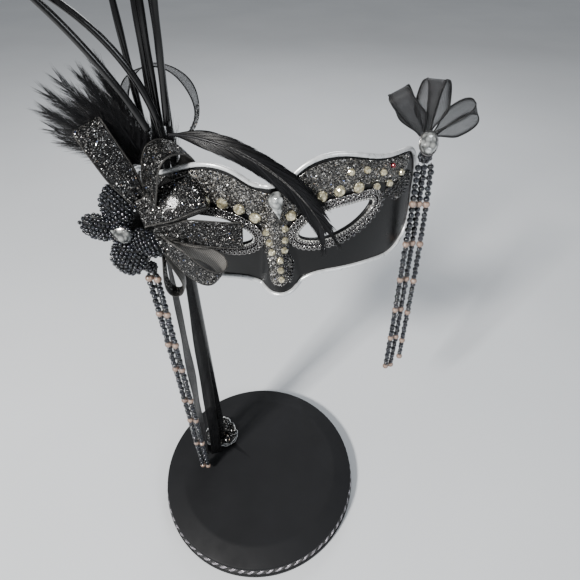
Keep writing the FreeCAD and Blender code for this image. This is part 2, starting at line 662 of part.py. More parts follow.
def bead_string(label, points):
    """A string of beads from its knot: a run of beads, then a pearl, down to the last pearl."""
    pieces = []
    pearl = size("pearl_radius")
    for index, (above, below) in enumerate(zip(points, points[1:])):
        start, end = V(*above), V(*below)
        along = (end - start).normalize()
        first = start + along * (pearl if index else 0)
        run = add("Part::Cylinder", f"{label}_run_{index}", upright(first, along),
                  Radius="Sizes.bead_radius")
        run.Height = (end - first).Length - pearl
        pieces.append(run)
        pieces.append(add("Part::Sphere", f"{label}_pearl_{index}", at(*below),
                          Radius="Sizes.pearl_radius"))
    group(label, pieces)


def make_tassels():
    for label, centre in (("right_tassel_knot", RIGHT_KNOT), ("left_tassel_knot", LEFT_KNOT)):
        node(add("Part::Sphere", label + "_form", Radius="Sizes.knot_radius"), label, at(*centre))
    for label, points in RIGHT_STRINGS.items():
        bead_string(label, points)
    for label, (x, y, drop) in LEFT_STRINGS.items():
        bead_string(label, [(x, y, LEFT_KNOT.z - 3.6)] + [(x, y, z + drop) for z in LEFT_PEARL_HEIGHTS])


def main():
    make_base()
    make_collar()
    make_stick()
    make_shell()
    make_trims()
    make_coats()
    make_stones()
    make_rosette()
    make_plumes()
    make_bow()
    make_tassels()
    doc.recompute()
    failed = [thing.Name for thing in doc.Objects if set(thing.State) & {"Invalid", "Error"}]
    assert not failed, f"failed objects: {failed}"
    os.makedirs("parts", exist_ok=True)
    for thing in nodes:
        assert not thing.Shape.isNull() and thing.Shape.isValid(), f"bad shape: {thing.Label}"
        thing.Shape.exportStep(f"parts/{thing.Label}.step")
        box = thing.Shape.BoundBox
        print(thing.Label, len(thing.Shape.Solids), "solids", round(thing.Shape.Volume), "mm3",
              "from", [round(v) for v in (box.XMin, box.YMin, box.ZMin)],
              "to", [round(v) for v in (box.XMax, box.YMax, box.ZMax)])
    print(len(nodes), "nodes")


main()
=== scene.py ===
"""Looks of a black and silver half mask on a stick, in millimetres unless a name says m."""

import math

import bmesh
import bpy
import numpy as np
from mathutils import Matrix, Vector, geometry


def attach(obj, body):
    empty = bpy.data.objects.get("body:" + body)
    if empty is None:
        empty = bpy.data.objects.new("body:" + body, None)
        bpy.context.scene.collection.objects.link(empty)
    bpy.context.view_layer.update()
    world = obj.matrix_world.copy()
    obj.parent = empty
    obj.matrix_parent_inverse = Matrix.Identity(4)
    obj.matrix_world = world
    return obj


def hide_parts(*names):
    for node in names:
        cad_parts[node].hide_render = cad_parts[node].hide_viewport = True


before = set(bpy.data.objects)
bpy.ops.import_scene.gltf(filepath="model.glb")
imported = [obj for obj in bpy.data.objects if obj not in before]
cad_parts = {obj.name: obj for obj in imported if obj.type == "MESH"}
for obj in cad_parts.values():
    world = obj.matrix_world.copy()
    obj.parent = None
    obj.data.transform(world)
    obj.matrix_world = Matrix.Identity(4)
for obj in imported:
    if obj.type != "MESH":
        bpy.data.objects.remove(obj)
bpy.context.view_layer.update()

MM = 0.001
TAU = 2 * math.pi
dice = np.random.default_rng(11)


# ---------------------------------------------------------------- vectors and curves

def unit(v):
    v = np.asarray(v, float)
    return v / np.maximum(np.linalg.norm(v, axis=-1, keepdims=True), 1e-12)


def frame_at(x_axis, z_axis):
    """Rows X, Y, Z of a right-handed frame: X runs along x_axis, Z as near z_axis as it can."""
    x = unit(x_axis)
    z = np.asarray(z_axis, float)
    z = unit(z - x * np.dot(x, z))
    return np.array([x, np.cross(z, x), z])


def smoothstep(x):
    x = np.clip(x, 0, 1)
    return x * x * (3 - 2 * x)


def tangents(path, closed=False):
    if closed:
        return unit(np.roll(path, -1, axis=0) - np.roll(path, 1, axis=0))
    return unit(np.gradient(path, axis=0))


def lengths(path):
    """Distance along the path at each of its points."""
    return np.concatenate([[0], np.cumsum(np.linalg.norm(np.diff(path, axis=0), axis=1))])


def spread(path, count):
    """The path again, at evenly spaced points."""
    path = np.asarray(path, float)
    at = lengths(path)
    where = np.linspace(0, at[-1], count)
    return np.stack([np.interp(where, at, path[:, k]) for k in range(path.shape[1])], axis=1)


def bowed(points, count):
    """A smooth open line through a few points."""
    points = np.asarray(points, float)
    padded = np.vstack([2 * points[0] - points[1], points, 2 * points[-1] - points[-2]])
    line = []
    for i in range(1, len(padded) - 2):
        a, b, c, d = padded[i - 1:i + 3]
        for t in np.linspace(0, 1, 24, endpoint=False):
            line.append(0.5 * (2 * b + (c - a) * t + (2 * a - 5 * b + 4 * c - d) * t ** 2
                               + (3 * b - a - 3 * c + d) * t ** 3))
    return spread(np.vstack([line, points[-1]]), count)


def round_loop(points, count):
    """A smooth closed curve through the points, as a periodic cubic spline."""
    points = np.asarray(points, float)
    n = len(points)
    gaps = np.linalg.norm(np.roll(points, -1, axis=0) - points, axis=1)
    before = np.roll(gaps, 1)
    system = np.zeros((n, n))
    right = np.zeros_like(points)
    for i in range(n):
        system[i, i - 1] += gaps[i]
        system[i, i] += 2 * (before[i] + gaps[i])
        system[i, (i + 1) % n] += before[i]
        ahead = (points[(i + 1) % n] - points[i]) / gaps[i]
        behind = (points[i] - points[i - 1]) / before[i]
        right[i] = 3 * (gaps[i] * behind + before[i] * ahead)
    slopes = np.linalg.solve(system, right)
    line = []
    for i in range(n):
        a, b, h = points[i], points[(i + 1) % n], gaps[i]
        for t in np.linspace(0, 1, 20, endpoint=False):
            line.append((2 * t ** 3 - 3 * t ** 2 + 1) * a
                        + (t ** 3 - 2 * t ** 2 + t) * h * slopes[i]
                        + (3 * t ** 2 - 2 * t ** 3) * b
                        + (t ** 3 - t ** 2) * h * slopes[(i + 1) % n])
    line.append(line[0])
    return spread(line, count + 1)[:-1]


def arc_through(a, b, c, count):
    """A circular arc from a through b to c."""
    a, b, c = (np.asarray(p, float) for p in (a, b, c))
    u, v = b - a, c - a
    normal = np.cross(u, v)
    centre = a + (np.cross(np.dot(u, u) * v - np.dot(v, v) * u, normal)
                  / (2 * np.dot(normal, normal)))
    x = unit(a - centre)
    y = unit(np.cross(normal, x))
    radius = np.linalg.norm(a - centre)
    end = math.atan2(np.dot(c - centre, y), np.dot(c - centre, x)) % TAU
    angle = np.linspace(0, end, count)
    return centre + radius * (np.cos(angle)[:, None] * x + np.sin(angle)[:, None] * y)


def carried(path, first_side, closed=False):
    """A side vector at each point of a path, turned as little as can be."""
    along = tangents(path, closed)
    side = np.asarray(first_side, float)
    sides = []
    for t in along:
        side = unit(side - t * np.dot(side, t))
        sides.append(side)
    return np.array(sides)


# ---------------------------------------------------------------- meshes

class Build:
    """Gathers the vertices and faces of one piece."""

    def __init__(self):
        self.verts, self.tints, self.cloth, self.faces = [], [], [], []
        self.kinds, self.smooth = [], []
        self.count = 0

    def add(self, verts, faces, kind=0, smooth=True, tint=0.5, cloth=None):
        verts = np.asarray(verts, float)
        faces = np.asarray(faces)
        self.verts.append(verts)
        self.tints.append(np.broadcast_to(tint, len(verts)))
        self.cloth.append(np.zeros((len(verts), 3)) if cloth is None else cloth)
        self.faces.extend((faces + self.count).tolist())
        self.kinds.extend([kind] * len(faces) if np.isscalar(kind) else list(kind))
        self.smooth.extend([smooth] * len(faces))
        self.count += len(verts)

    def stamp(self, template, origins, axes, sizes=1.0, kind=0, smooth=True):
        """Copies of a template's vertices and faces; axes holds each copy's X, Y, Z rows."""
        shape, faces = template
        origins = np.asarray(origins, float)
        number = len(origins)
        if not number:
            return
        sizes = np.broadcast_to(np.asarray(sizes, float).reshape(-1, 1, 1), (number, 1, 1))
        verts = np.einsum("vk,nkj->nvj", shape, axes) * sizes + origins[:, None, :]
        tints = dice.random(number)
        for group in faces:
            group = np.asarray(group)
            shift = (np.arange(number) * len(shape))[:, None, None]
            group = (group[None] + shift).reshape(-1, group.shape[1])
            self.faces.extend((group + self.count).tolist())
            self.kinds.extend([kind] * len(group))
            self.smooth.extend([smooth] * len(group))
        self.verts.append(verts.reshape(-1, 3))
        self.tints.append(np.repeat(tints, len(shape)))
        self.cloth.append(np.zeros((number * len(shape), 3)))
        self.count += number * len(shape)

    def tube(self, path, radius, sides=10, closed=False, kind=0, tint=0.5,
             first=(0.31, 0.2, 0.93), flat=1.0):
        """A round tube along a path; flat squeezes it across the first direction."""
        path = np.asarray(path, float)
        n = len(path)
        radius = np.broadcast_to(radius, n)
        side = carried(path, first, closed)
        other = np.cross(tangents(path, closed), side)
        angle = np.arange(sides) * TAU / sides
        ring = (np.cos(angle)[None, :, None] * side[:, None] +
                flat * np.sin(angle)[None, :, None] * other[:, None])
        verts = (path[:, None] + ring * radius[:, None, None]).reshape(-1, 3)
        rows = n if closed else n - 1
        i, j = np.meshgrid(np.arange(rows), np.arange(sides), indexing="ij")
        a, b = i * sides + j, i * sides + (j + 1) % sides
        c, d = ((i + 1) % n) * sides + (j + 1) % sides, ((i + 1) % n) * sides + j
        faces = np.stack([a, b, c, d], axis=-1).reshape(-1, 4)
        along = lengths(path) if not closed else np.arange(n) * np.linalg.norm(path[1] - path[0])
        cloth = np.zeros((n, sides, 3))
        cloth[:, :, 0] = along[:, None] * MM
        cloth[:, :, 1] = (angle / TAU)[None] * 0.01
        self.add(verts, faces, kind, True, tint, cloth.reshape(-1, 3))
        if not closed:
            start = self.count - len(verts)
            self.face([start + k for k in reversed(range(sides))], kind, False)
            self.face([start + (n - 1) * sides + k for k in range(sides)], kind, False)

    def face(self, corners, kind=0, smooth=True):
        """One more face over vertices that are there already."""
        self.faces.append(corners)
        self.kinds.append(kind)
        self.smooth.append(smooth)

    def band(self, grid, thickness, front=0, back=0, tint=0.5):
        """A thin closed sheet over a grid of points; its cloth values are metres along, across
        and in from the nearer long edge."""
        n, m, _ = grid.shape
        across = np.gradient(grid, axis=1)
        along = np.gradient(grid, axis=0)
        normal = unit(np.cross(across, along))
        verts = np.concatenate([(grid + normal * thickness / 2).reshape(-1, 3),
                                (grid - normal * thickness / 2).reshape(-1, 3)])
        i, j = np.meshgrid(np.arange(n - 1), np.arange(m - 1), indexing="ij")
        a = i * m + j
        top = np.stack([a, a + 1, a + m + 1, a + m], axis=-1).reshape(-1, 4)
        low = top[:, ::-1] + n * m
        rim = []
        edge = ([(k, 0) for k in range(n)] + [(n - 1, k) for k in range(1, m)]
                + [(k, m - 1) for k in range(n - 2, -1, -1)]
                + [(0, k) for k in range(m - 2, 0, -1)])
        index = [r * m + c for r, c in edge]
        for p, q in zip(index, index[1:] + index[:1]):
            rim.append([p, q, q + n * m, p + n * m])
        u = lengths(grid[:, m // 2]) * MM
        v = lengths(grid[n // 2]) * MM
        cloth = np.zeros((n, m, 3))
        cloth[:, :, 0] = u[:, None]
        cloth[:, :, 1] = v[None]
        cloth[:, :, 2] = (v[-1] / 2 - np.abs(v - v[-1] / 2))[None]
        cloth = np.concatenate([cloth.reshape(-1, 3)] * 2)
        kinds = [front] * len(top) + [back] * len(low) + [front] * len(rim)
        self.add(verts, np.concatenate([top, low, np.array(rim)]), kinds, True, tint, cloth)

    def patch(self, points, triangles, normals, low, high, kind=0):
        """A closed sheet over triangles, between two lifts along the normals."""
        n = len(points)
        verts = np.concatenate([points + normals * high, points + normals * low])
        triangles = np.asarray(triangles)
        self.add(verts, np.concatenate([triangles, triangles[:, ::-1] + n]), kind)
        edges = {}
        for tri in triangles.tolist():
            for p, q in ((tri[0], tri[1]), (tri[1], tri[2]), (tri[2], tri[0])):
                if (q, p) in edges:
                    del edges[(q, p)]
                else:
                    edges[(p, q)] = True
        start = self.count - 2 * n
        for p, q in edges:
            self.face([start + q, start + p, start + p + n, start + q + n], kind)


def placed(name, data):
    thing = bpy.data.objects.new(name, data)
    bpy.context.scene.collection.objects.link(thing)
    return thing


def piece(name, build, materials, replaces=(), body="mask_stick"):
    mesh = bpy.data.meshes.new(name)
    verts = np.concatenate(build.verts) * MM
    mesh.from_pydata(verts.tolist(), [], build.faces)
    mesh.polygons.foreach_set("use_smooth", np.array(build.smooth, bool))
    mesh.polygons.foreach_set("material_index", np.array(build.kinds, np.int32))
    tint = mesh.attributes.new("tint", "FLOAT", "POINT")
    tint.data.foreach_set("value", np.concatenate(build.tints).astype(np.float32))
    cloth = mesh.attributes.new("cloth", "FLOAT_VECTOR", "POINT")
    cloth.data.foreach_set("vector", np.concatenate(build.cloth).astype(np.float32).ravel())
    for made in materials:
        mesh.materials.append(made)
    mesh.validate()
    mesh.update()
    thing = placed(name, mesh)
    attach(thing, body)
    if replaces:
        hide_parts(*replaces)
    return thing


def icosphere(level):
    made = bmesh.new()
    bmesh.ops.create_icosphere(made, subdivisions=level, radius=1)
    verts = np.array([v.co[:] for v in made.verts])
    faces = np.array([[v.index for v in f.verts] for f in made.faces])
    made.free()
    return verts, [faces]


def lathe(profile, segments):
    """A closed turned form about Z from a profile of radius and height, top to bottom."""
    profile = np.asarray(profile, float)
    angle = np.arange(segments) * TAU / segments
    verts = np.stack([profile[:, 0, None] * np.cos(angle), profile[:, 0, None] * np.sin(angle),
                      np.repeat(profile[:, 1, None], segments, axis=1)], axis=-1).reshape(-1, 3)
    n = len(profile)
    i, j = np.meshgrid(np.arange(n - 1), np.arange(segments), indexing="ij")
    a, b = i * segments + j, i * segments + (j + 1) % segments
    return verts, np.stack([b, a, a + segments, b + segments], axis=-1).reshape(-1, 4)


def drilled_bead(segments):
    """A round bead of radius 1 with a small hole along Z."""
    lip, squash, hole, sink = 0.34, 0.92, 0.2, 0.12
    angle = np.linspace(lip, math.pi - lip, 8)
    profile = [(math.sin(t), math.cos(t) * squash) for t in angle]
    profile.append((hole, profile[-1][1] + sink))
    profile.insert(0, (hole, profile[0][1] - sink))
    verts, faces = lathe(profile + [profile[0]], segments)
    count = len(profile) * segments
    faces = np.where(faces >= count, faces - count, faces)
    return verts[:count], [faces]


def hex_flake():
    """A thin six-sided flake of radius 1."""
    ring, half_thick = oval(1, 1, 6), 0.06
    verts = np.concatenate([np.c_[ring, np.full(6, half_thick)],
                            np.c_[ring, np.full(6, -half_thick)]])
    sides = np.array([[k, k + 6, (k + 1) % 6 + 6, (k + 1) % 6] for k in range(6)])
    halves = np.array([[0, 1, 2, 3], [0, 3, 4, 5], [6, 9, 8, 7], [6, 11, 10, 9]])
    return verts, [sides, halves]


def cut_stone(outline, height, table=0.55, girdle=0.22, belly=0.86):
    """A flat-backed faceted stone over an outline, as triangles with no shared shading."""
    outline = np.asarray(outline, float)
    n = len(outline)
    centre = outline.mean(axis=0)
    offset = outline - centre
    half = (offset + np.roll(offset, -1, axis=0)) / 2
    rings = [np.c_[outline, np.zeros(n)], np.c_[outline, np.full(n, girdle * height)],
             np.c_[centre + half * belly, np.full(n, 0.62 * height)],
             np.c_[centre + offset * table, np.full(n, height)]]
    verts = np.concatenate(rings + [[[*centre, height]], [[*centre, 0.0]]])
    faces = []
    for k in range(n):
        k1 = (k + 1) % n
        faces += [[k, k1, n + k1], [k, n + k1, n + k]]
        faces += [[n + k, n + k1, 2 * n + k]]
        faces += [[n + k1, 2 * n + k1, 2 * n + k]]
        faces += [[2 * n + k, 2 * n + k1, 3 * n + k1]]
        faces += [[3 * n + k, 2 * n + k, 3 * n + k1]]
        faces += [[3 * n + k, 3 * n + k1, 4 * n]]
        faces += [[k1, k, 4 * n + 1]]
    return verts, [np.array(faces)]


def facing_axes(directions, spins):
    """Axes whose Z runs along each direction, spun about it."""
    z = unit(directions)
    helper = np.where(np.abs(z[:, 2:3]) < 0.9, [[0.0, 0.0, 1.0]], [[1.0, 0.0, 0.0]])
    x = unit(np.cross(helper, z))
    y = np.cross(z, x)
    c, s = np.cos(spins)[:, None], np.sin(spins)[:, None]
    return np.stack([c * x + s * y, c * y - s * x, z], axis=1)


def spins(count):
    """A random turn for each of a number of copies."""
    return dice.uniform(0, TAU, count)


def oval(half_x, half_y, sides):
    angle = np.arange(sides) * TAU / sides
    return np.stack([half_x * np.cos(angle), half_y * np.sin(angle)], axis=1)


def hem(build, grid, radius, sides):
    """A wire or rolled edge along both long edges of a ribbon."""
    for edge in (0, -1):
        build.tube(grid[:, edge], radius, sides)


BALL = icosphere(3)
SMALL_BALL = icosphere(2)
BEAD, BEAD_FINE, BEAD_SMALL = drilled_bead(12), drilled_bead(24), drilled_bead(9)
FLAKE = hex_flake()


# ---------------------------------------------------------------- materials

class Shade:
    """A node material with a Principled shader; constants go straight onto its sockets."""

    def __init__(self, name, **constants):
        self.material = bpy.data.materials.new(name)
        self.material.use_nodes = True
        self.tree = self.material.node_tree
        self.shader = self.tree.nodes["Principled BSDF"]
        for socket, value in constants.items():
            self.shader.inputs[socket.replace("_", " ")].default_value = value

    def node(self, kind, **settings):
        made = self.tree.nodes.new(kind)
        for name, value in settings.items():
            setattr(made, name, value)
        return made

    def link(self, source, target):
        self.tree.links.new(source, target)

    def place(self):
        return self.node("ShaderNodeTexCoord").outputs["Object"]

    def attribute(self, name, output="Fac"):
        return self.node("ShaderNodeAttribute", attribute_name=name).outputs[output]

    def noise(self, scale, detail=3.0, where=None):
        made = self.node("ShaderNodeTexNoise")
        made.inputs["Scale"].default_value = scale
        made.inputs["Detail"].default_value = detail
        self.link(where or self.place(), made.inputs["Vector"])
        return made.outputs["Fac"]

    def cells(self, scale):
        made = self.node("ShaderNodeTexVoronoi")
        made.inputs["Scale"].default_value = scale
        self.link(self.place(), made.inputs["Vector"])
        return made

    def ramp(self, source, stops, steps=False):
        made = self.node("ShaderNodeValToRGB")
        bar = made.color_ramp
        bar.interpolation = "CONSTANT" if steps else "LINEAR"
        while len(bar.elements) < len(stops):
            bar.elements.new(0.5)
        for element, (position, colour) in zip(bar.elements, stops):
            element.position = position
            element.color = (*colour, 1) if hasattr(colour, "__len__") else (colour,) * 3 + (1,)
        self.link(source, made.inputs["Fac"])
        return made.outputs["Color"]

    def math(self, operation, a, b=None, clamp=False):
        made = self.node("ShaderNodeMath", operation=operation, use_clamp=clamp)
        for socket, value in zip(made.inputs, (a, b)):
            if value is None:
                continue
            if isinstance(value, (int, float)):
                socket.default_value = value
            else:
                self.link(value, socket)
        return made.outputs[0]

    def mix(self, share, a, b):
        made = self.node("ShaderNodeMix", data_type="RGBA")
        self.link(share, made.inputs["Factor"])
        for socket, value in ((made.inputs[6], a), (made.inputs[7], b)):
            if isinstance(value, tuple):
                socket.default_value = (*value, 1)
            else:
                self.link(value, socket)
        return made.outputs[2]

    def to(self, socket, source):
        self.link(source, self.shader.inputs[socket])
        return self

    def bump(self, height, depth_m, strength=1.0):
        made = self.node("ShaderNodeBump")
        made.inputs["Distance"].default_value = depth_m
        made.inputs["Strength"].default_value = strength
        self.link(height, made.inputs["Height"])
        self.to("Normal", made.outputs["Normal"])
        return self

    def glint(self, scale, strength):
        """Tilts the surface by a different amount in each small cell, so that flakes flash."""
        cells = self.cells(scale)
        tilt = self.node("ShaderNodeVectorMath", operation="SUBTRACT")
        self.link(cells.outputs["Color"], tilt.inputs[0])
        tilt.inputs[1].default_value = (0.5, 0.5, 0.5)
        weak = self.node("ShaderNodeVectorMath", operation="SCALE")
        self.link(tilt.outputs[0], weak.inputs[0])
        weak.inputs["Scale"].default_value = strength
        total = self.node("ShaderNodeVectorMath", operation="ADD")
        self.link(self.node("ShaderNodeNewGeometry").outputs["Normal"], total.inputs[0])
        self.link(weak.outputs[0], total.inputs[1])
        level = self.node("ShaderNodeVectorMath", operation="NORMALIZE")
        self.link(total.outputs[0], level.inputs[0])
        self.to("Normal", level.outputs[0])
        return cells


FINE_GRAIN = 0.00004  # metres


def painted(name, colour, low, high, grain, depth, **constants):
    """Paint with uneven gloss, a faint mottle and a fine orange-peel."""
    made = Shade(name, **constants)
    mottle = made.noise(24)
    dark = tuple(c * 0.86 for c in colour)
    light = tuple(c * 1.14 for c in colour)
    made.to("Base Color", made.ramp(mottle, [(0.3, dark), (0.7, light)]))
    made.to("Roughness", made.ramp(made.noise(90, 4), [(0.3, low), (0.75, high)]))
    made.bump(made.noise(grain, 2), depth)
    return made


def wood_black():
    """Matt black paint with a few grains of dust on it."""
    made = painted("base_paint", (0.0095, 0.0098, 0.011), 0.55, 0.66, 1400, FINE_GRAIN,
                   Specular_IOR_Level=0.2)
    specks = made.cells(260)
    near = made.ramp(specks.outputs["Distance"], [(0.0, 1.0), (0.07, 0.0)])
    rare = made.ramp(made.noise(30, 1), [(0.62, 0.0), (0.7, 0.5)])
    dust = made.math("MULTIPLY", near, rare)
    colour = made.shader.inputs["Base Color"].links[0].from_socket
    made.to("Base Color", made.mix(dust, colour, (0.16, 0.16, 0.17)))
    return made.material


def metal(name, colour, roughness):
    """Lightly worn metal, darker on some copies than on others."""
    made = Shade(name, Metallic=1.0)
    dark = tuple(c * 0.62 for c in colour)
    made.to("Base Color", made.ramp(made.attribute("tint"), [(0.0, dark), (1.0, colour)]))
    made.to("Roughness", made.ramp(made.noise(700, 2),
                                   [(0.3, roughness * 0.7), (0.7, roughness * 1.4)]))
    made.bump(made.noise(1050, 2), FINE_GRAIN)
    return made.material


def satin_cord():
    """Bright silver-white cord, half satin thread and half foil."""
    made = Shade("piping", Metallic=0.45, Coat_Weight=0.3, Coat_Roughness=0.2)
    worn = made.noise(260, 3)
    made.to("Base Color", made.ramp(worn, [(0.3, (0.66, 0.68, 0.69)), (0.7, (0.86, 0.87, 0.88))]))
    made.to("Roughness", made.ramp(worn, [(0.3, 0.26), (0.8, 0.4)]))
    made.bump(made.noise(900, 2), FINE_GRAIN)
    return made.material


def gem(name, light, dark, scale=640, tilt=0.75, metallic=0.6):
    """Foil-backed cut glass: cells tilted like facets, each with a painted highlight in its middle
    and painted shade at its rim.
    """
    made = Shade(name, Metallic=metallic, Roughness=0.06, Coat_Weight=1.0, Coat_Roughness=0.02,
                 IOR=1.6)
    facets = made.glint(scale, tilt)
    # Painted light: 'light' is a painted highlight in each facet cell's middle, 'dark' a painted
    # shade towards its rim.
    made.to("Base Color", made.ramp(facets.outputs["Distance"], [(0.05, light), (0.75, dark)]))
    return made.material


def bead_glass(name, dark, light, roughness):
    """Near-black lined glass under a bright coat; each bead has its own tint."""
    made = Shade(name, Metallic=0.75, Coat_Weight=1.0, Coat_Roughness=0.05, Coat_IOR=1.62, IOR=1.6)
    violet = (0.024, 0.022, 0.032)
    made.to("Base Color", made.ramp(made.attribute("tint"),
                                    [(0.0, dark), (0.8, light), (1.0, violet)]))
    made.to("Roughness", made.ramp(made.noise(900), [(0.3, roughness), (0.8, roughness * 2.6)]))
    return made.material


def pearl_shell():
    """Blush pearl with painted shade, darker towards its rim where it turns from view."""
    made = Shade("pearl", Coat_Weight=0.7, Coat_Roughness=0.08, Specular_IOR_Level=0.6)
    blush = made.ramp(made.attribute("tint"),
                      [(0.0, (0.2, 0.13, 0.10)), (1.0, (0.34, 0.24, 0.185))])
    # Painted shade: the colour darkens to (0.11, 0.07, 0.055) where the pearl's surface turns away
    # from view.
    rim_shade = made.node("ShaderNodeLayerWeight")
    rim_shade.inputs["Blend"].default_value = 0.35
    made.to("Base Color", made.mix(rim_shade.outputs["Facing"], blush, (0.11, 0.07, 0.055)))
    made.to("Roughness", made.ramp(made.noise(500), [(0.3, 0.16), (0.8, 0.28)]))
    return made.material


def glitter(name, scale, strength, stops, roughness, metallic, coat):
    """Packed flakes: every small cell has its own tilt, brightness and gloss."""
    made = Shade(name, Metallic=metallic, Coat_Weight=coat, Coat_Roughness=0.08)
    cells = made.glint(scale, strength)
    split = made.node("ShaderNodeSeparateColor")
    made.link(cells.outputs["Color"], split.inputs[0])
    made.to("Base Color", made.ramp(split.outputs[0], stops, steps=True))
    made.to("Roughness", made.ramp(split.outputs[1],
                                   [(0.0, roughness * 0.5), (1.0, roughness * 1.6)]))
    return made.material


def flakes_metal():
    """Loose flakes: mostly silver and gunmetal, a few with a coloured flash."""
    made = Shade("flakes", Metallic=0.9, Roughness=0.16, Coat_Weight=0.5, Coat_Roughness=0.05)
    gunmetal, silver = (0.18, 0.17, 0.16), (0.8, 0.77, 0.72)
    blue, copper = (0.25, 0.35, 0.8), (0.8, 0.6, 0.45)
    stops = [(0.0, 0.010), (0.45, 0.05), (0.7, gunmetal), (0.875, silver), (0.985, blue),
             (0.99, copper)]
    made.to("Base Color", made.ramp(made.attribute("tint"), stops, steps=True))
    return made.material


def woven(name, dark, light, pitch_m, roughness=0.5, alpha=None, **constants):
    """Cloth of threads along and across, read from the sheet's own coordinates."""
    made = Shade(name, **constants)
    split = made.node("ShaderNodeSeparateXYZ")
    made.link(made.attribute("cloth", "Vector"), split.inputs[0])
    waves = [made.math("SINE", made.math("MULTIPLY", split.outputs[k], TAU / pitch_m))
             for k in (0, 1)]
    weave = made.math("MAXIMUM", *waves)
    height = made.math("ADD", made.math("MULTIPLY", weave, 0.5), 0.5)
    worn = made.noise(60, 3)
    mixed = made.math("MULTIPLY", height, made.math("ADD", worn, 0.5), clamp=True)
    made.to("Base Color", made.ramp(mixed, [(0.2, dark), (0.9, light)]))
    made.to("Roughness", made.ramp(worn, [(0.3, roughness * 0.8), (0.8, roughness * 1.2)]))
    made.bump(height, pitch_m * 0.25)
    if alpha:
        edge = made.ramp(split.outputs[2], [(0.0005, 1.0), (0.0011, 0.0)])
        thin = made.ramp(made.math("MULTIPLY", height, made.math("ADD", worn, 0.45)),
                         [(0.1, alpha[0]), (0.75, alpha[1])])
        made.to("Alpha", made.math("MAXIMUM", thin, edge))
    return made.material


def felted(name, colour):
    made = Shade(name, Roughness=0.95, Sheen_Weight=0.6, Sheen_Roughness=0.5)
    fuzz = made.noise(1500, 5)
    made.to("Base Color", made.ramp(fuzz, [(0.3, tuple(c * 0.5 for c in colour)), (0.7, colour)]))
    made.bump(fuzz, 0.0004)
    return made.material


def plume():
    """Black barbs with a soft cold sheen along them."""
    made = Shade("plume", Specular_IOR_Level=0.24)
    stops = [(0.0, 0.0015), (0.7, (0.005, 0.005, 0.006)), (1.0, (0.016, 0.016, 0.018))]
    made.to("Base Color", made.ramp(made.attribute("tint"), stops))
    made.to("Roughness", made.ramp(made.noise(300, 3), [(0.3, 0.28), (0.8, 0.42)]))
    return made.material


def lacquer():
    """Stripped quills: gloss black with fine lengthwise flutes."""
    made = Shade("quill_lacquer", Coat_Weight=0.6, Coat_Roughness=0.05, Specular_IOR_Level=0.2)
    streak = made.node("ShaderNodeMapping")
    streak.inputs["Scale"].default_value = (1.0, 1.0, 0.02)
    made.link(made.place(), streak.inputs["Vector"])
    lines = made.noise(900, 3, streak.outputs[0])
    made.to("Base Color", made.ramp(lines, [(0.35, (0.0015, 0.0015, 0.0018)),
                                            (0.75, (0.006, 0.006, 0.0062))]))
    made.to("Roughness", made.ramp(lines, [(0.3, 0.12), (0.8, 0.34)]))
    made.bump(lines, 0.00015)
    return made.material


def rope_strand(name, dark, light, **constants):
    """A satin strand with fine threads running along it."""
    made = Shade(name, **constants)
    split = made.node("ShaderNodeSeparateXYZ")
    made.link(made.attribute("cloth", "Vector"), split.inputs[0])
    threads, twist = 7, 900
    turn = made.math("ADD", made.math("MULTIPLY", split.outputs[1], 100 * TAU * threads),
                     made.math("MULTIPLY", split.outputs[0], twist))
    thread = made.math("ADD", made.math("MULTIPLY", made.math("SINE", turn), 0.5), 0.5)
    made.to("Base Color", made.ramp(thread, [(0.1, dark), (0.8, light)]))
    made.bump(thread, 0.00022)
    return made.material


M_BASE = wood_black()
M_STICK = painted("stick_lacquer", (0.006, 0.006, 0.0065), 0.22, 0.34, 500, FINE_GRAIN,
                  Coat_Weight=0.2, Coat_Roughness=0.15, Specular_IOR_Level=0.4).material
M_LEATHER = painted("leather", (0.02, 0.019, 0.018), 0.5, 0.7, 1100, 0.0002).material
M_MASK = painted("mask_paint", (0.0022, 0.0022, 0.0025), 0.27, 0.34, 900, FINE_GRAIN,
                 Specular_IOR_Level=0.3).material
M_LINING = painted("mask_back", (0.02, 0.019, 0.018), 0.7, 0.85, 700, 0.0002).material
M_PIPING = satin_cord()
M_SILVER = metal("silver_chain", (0.85, 0.83, 0.78), 0.16)
M_GUNMETAL = metal("gunmetal", (0.30, 0.29, 0.285), 0.17)
# In each crystal finish the first colour is a painted facet highlight and the second a painted
# facet shade; in the clear crystal that shade stands for dark reflections.
M_GEM = gem("champagne_crystal", (0.95, 0.89, 0.65), (0.37, 0.32, 0.19))
M_CLEAR = gem("clear_crystal", (0.88, 0.90, 0.87), (0.10, 0.105, 0.105), 300, 0.36, 0.5)
M_RED = gem("red_crystal", (0.5, 0.006, 0.02), (0.12, 0.0, 0.006), 520, 0.5, 0.45)
M_BEAD = bead_glass("gunmetal_bead", (0.0018, 0.0025, 0.005), (0.006, 0.0085, 0.017), 0.1)
M_MICRO = bead_glass("jet_bead", (0.003, 0.003, 0.004), (0.012, 0.012, 0.014), 0.07)
M_PEARL = pearl_shell()
M_COAT = glitter("glitter_glue", 1500, 1.1,
                 [(0.0, 0.028), (0.42, (0.095, 0.09, 0.082)), (0.68, (0.25, 0.235, 0.21)),
                  (0.86, (0.58, 0.55, 0.5)), (0.95, 0.9)], 0.3, 0.75, 0.7)
M_RIBBON = glitter("sequin_ribbon", 2100, 0.8,
                   [(0.0, 0.006), (0.5, 0.016), (0.76, 0.05), (0.92, 0.16), (0.975, 0.5)],
                   0.3, 0.85, 0.2)
M_FLAKES = flakes_metal()
M_RIBBON_IN = woven("ribbon_mesh", (0.018, 0.018, 0.018), (0.26, 0.25, 0.235), 0.0011, 0.4,
                    Metallic=0.4)
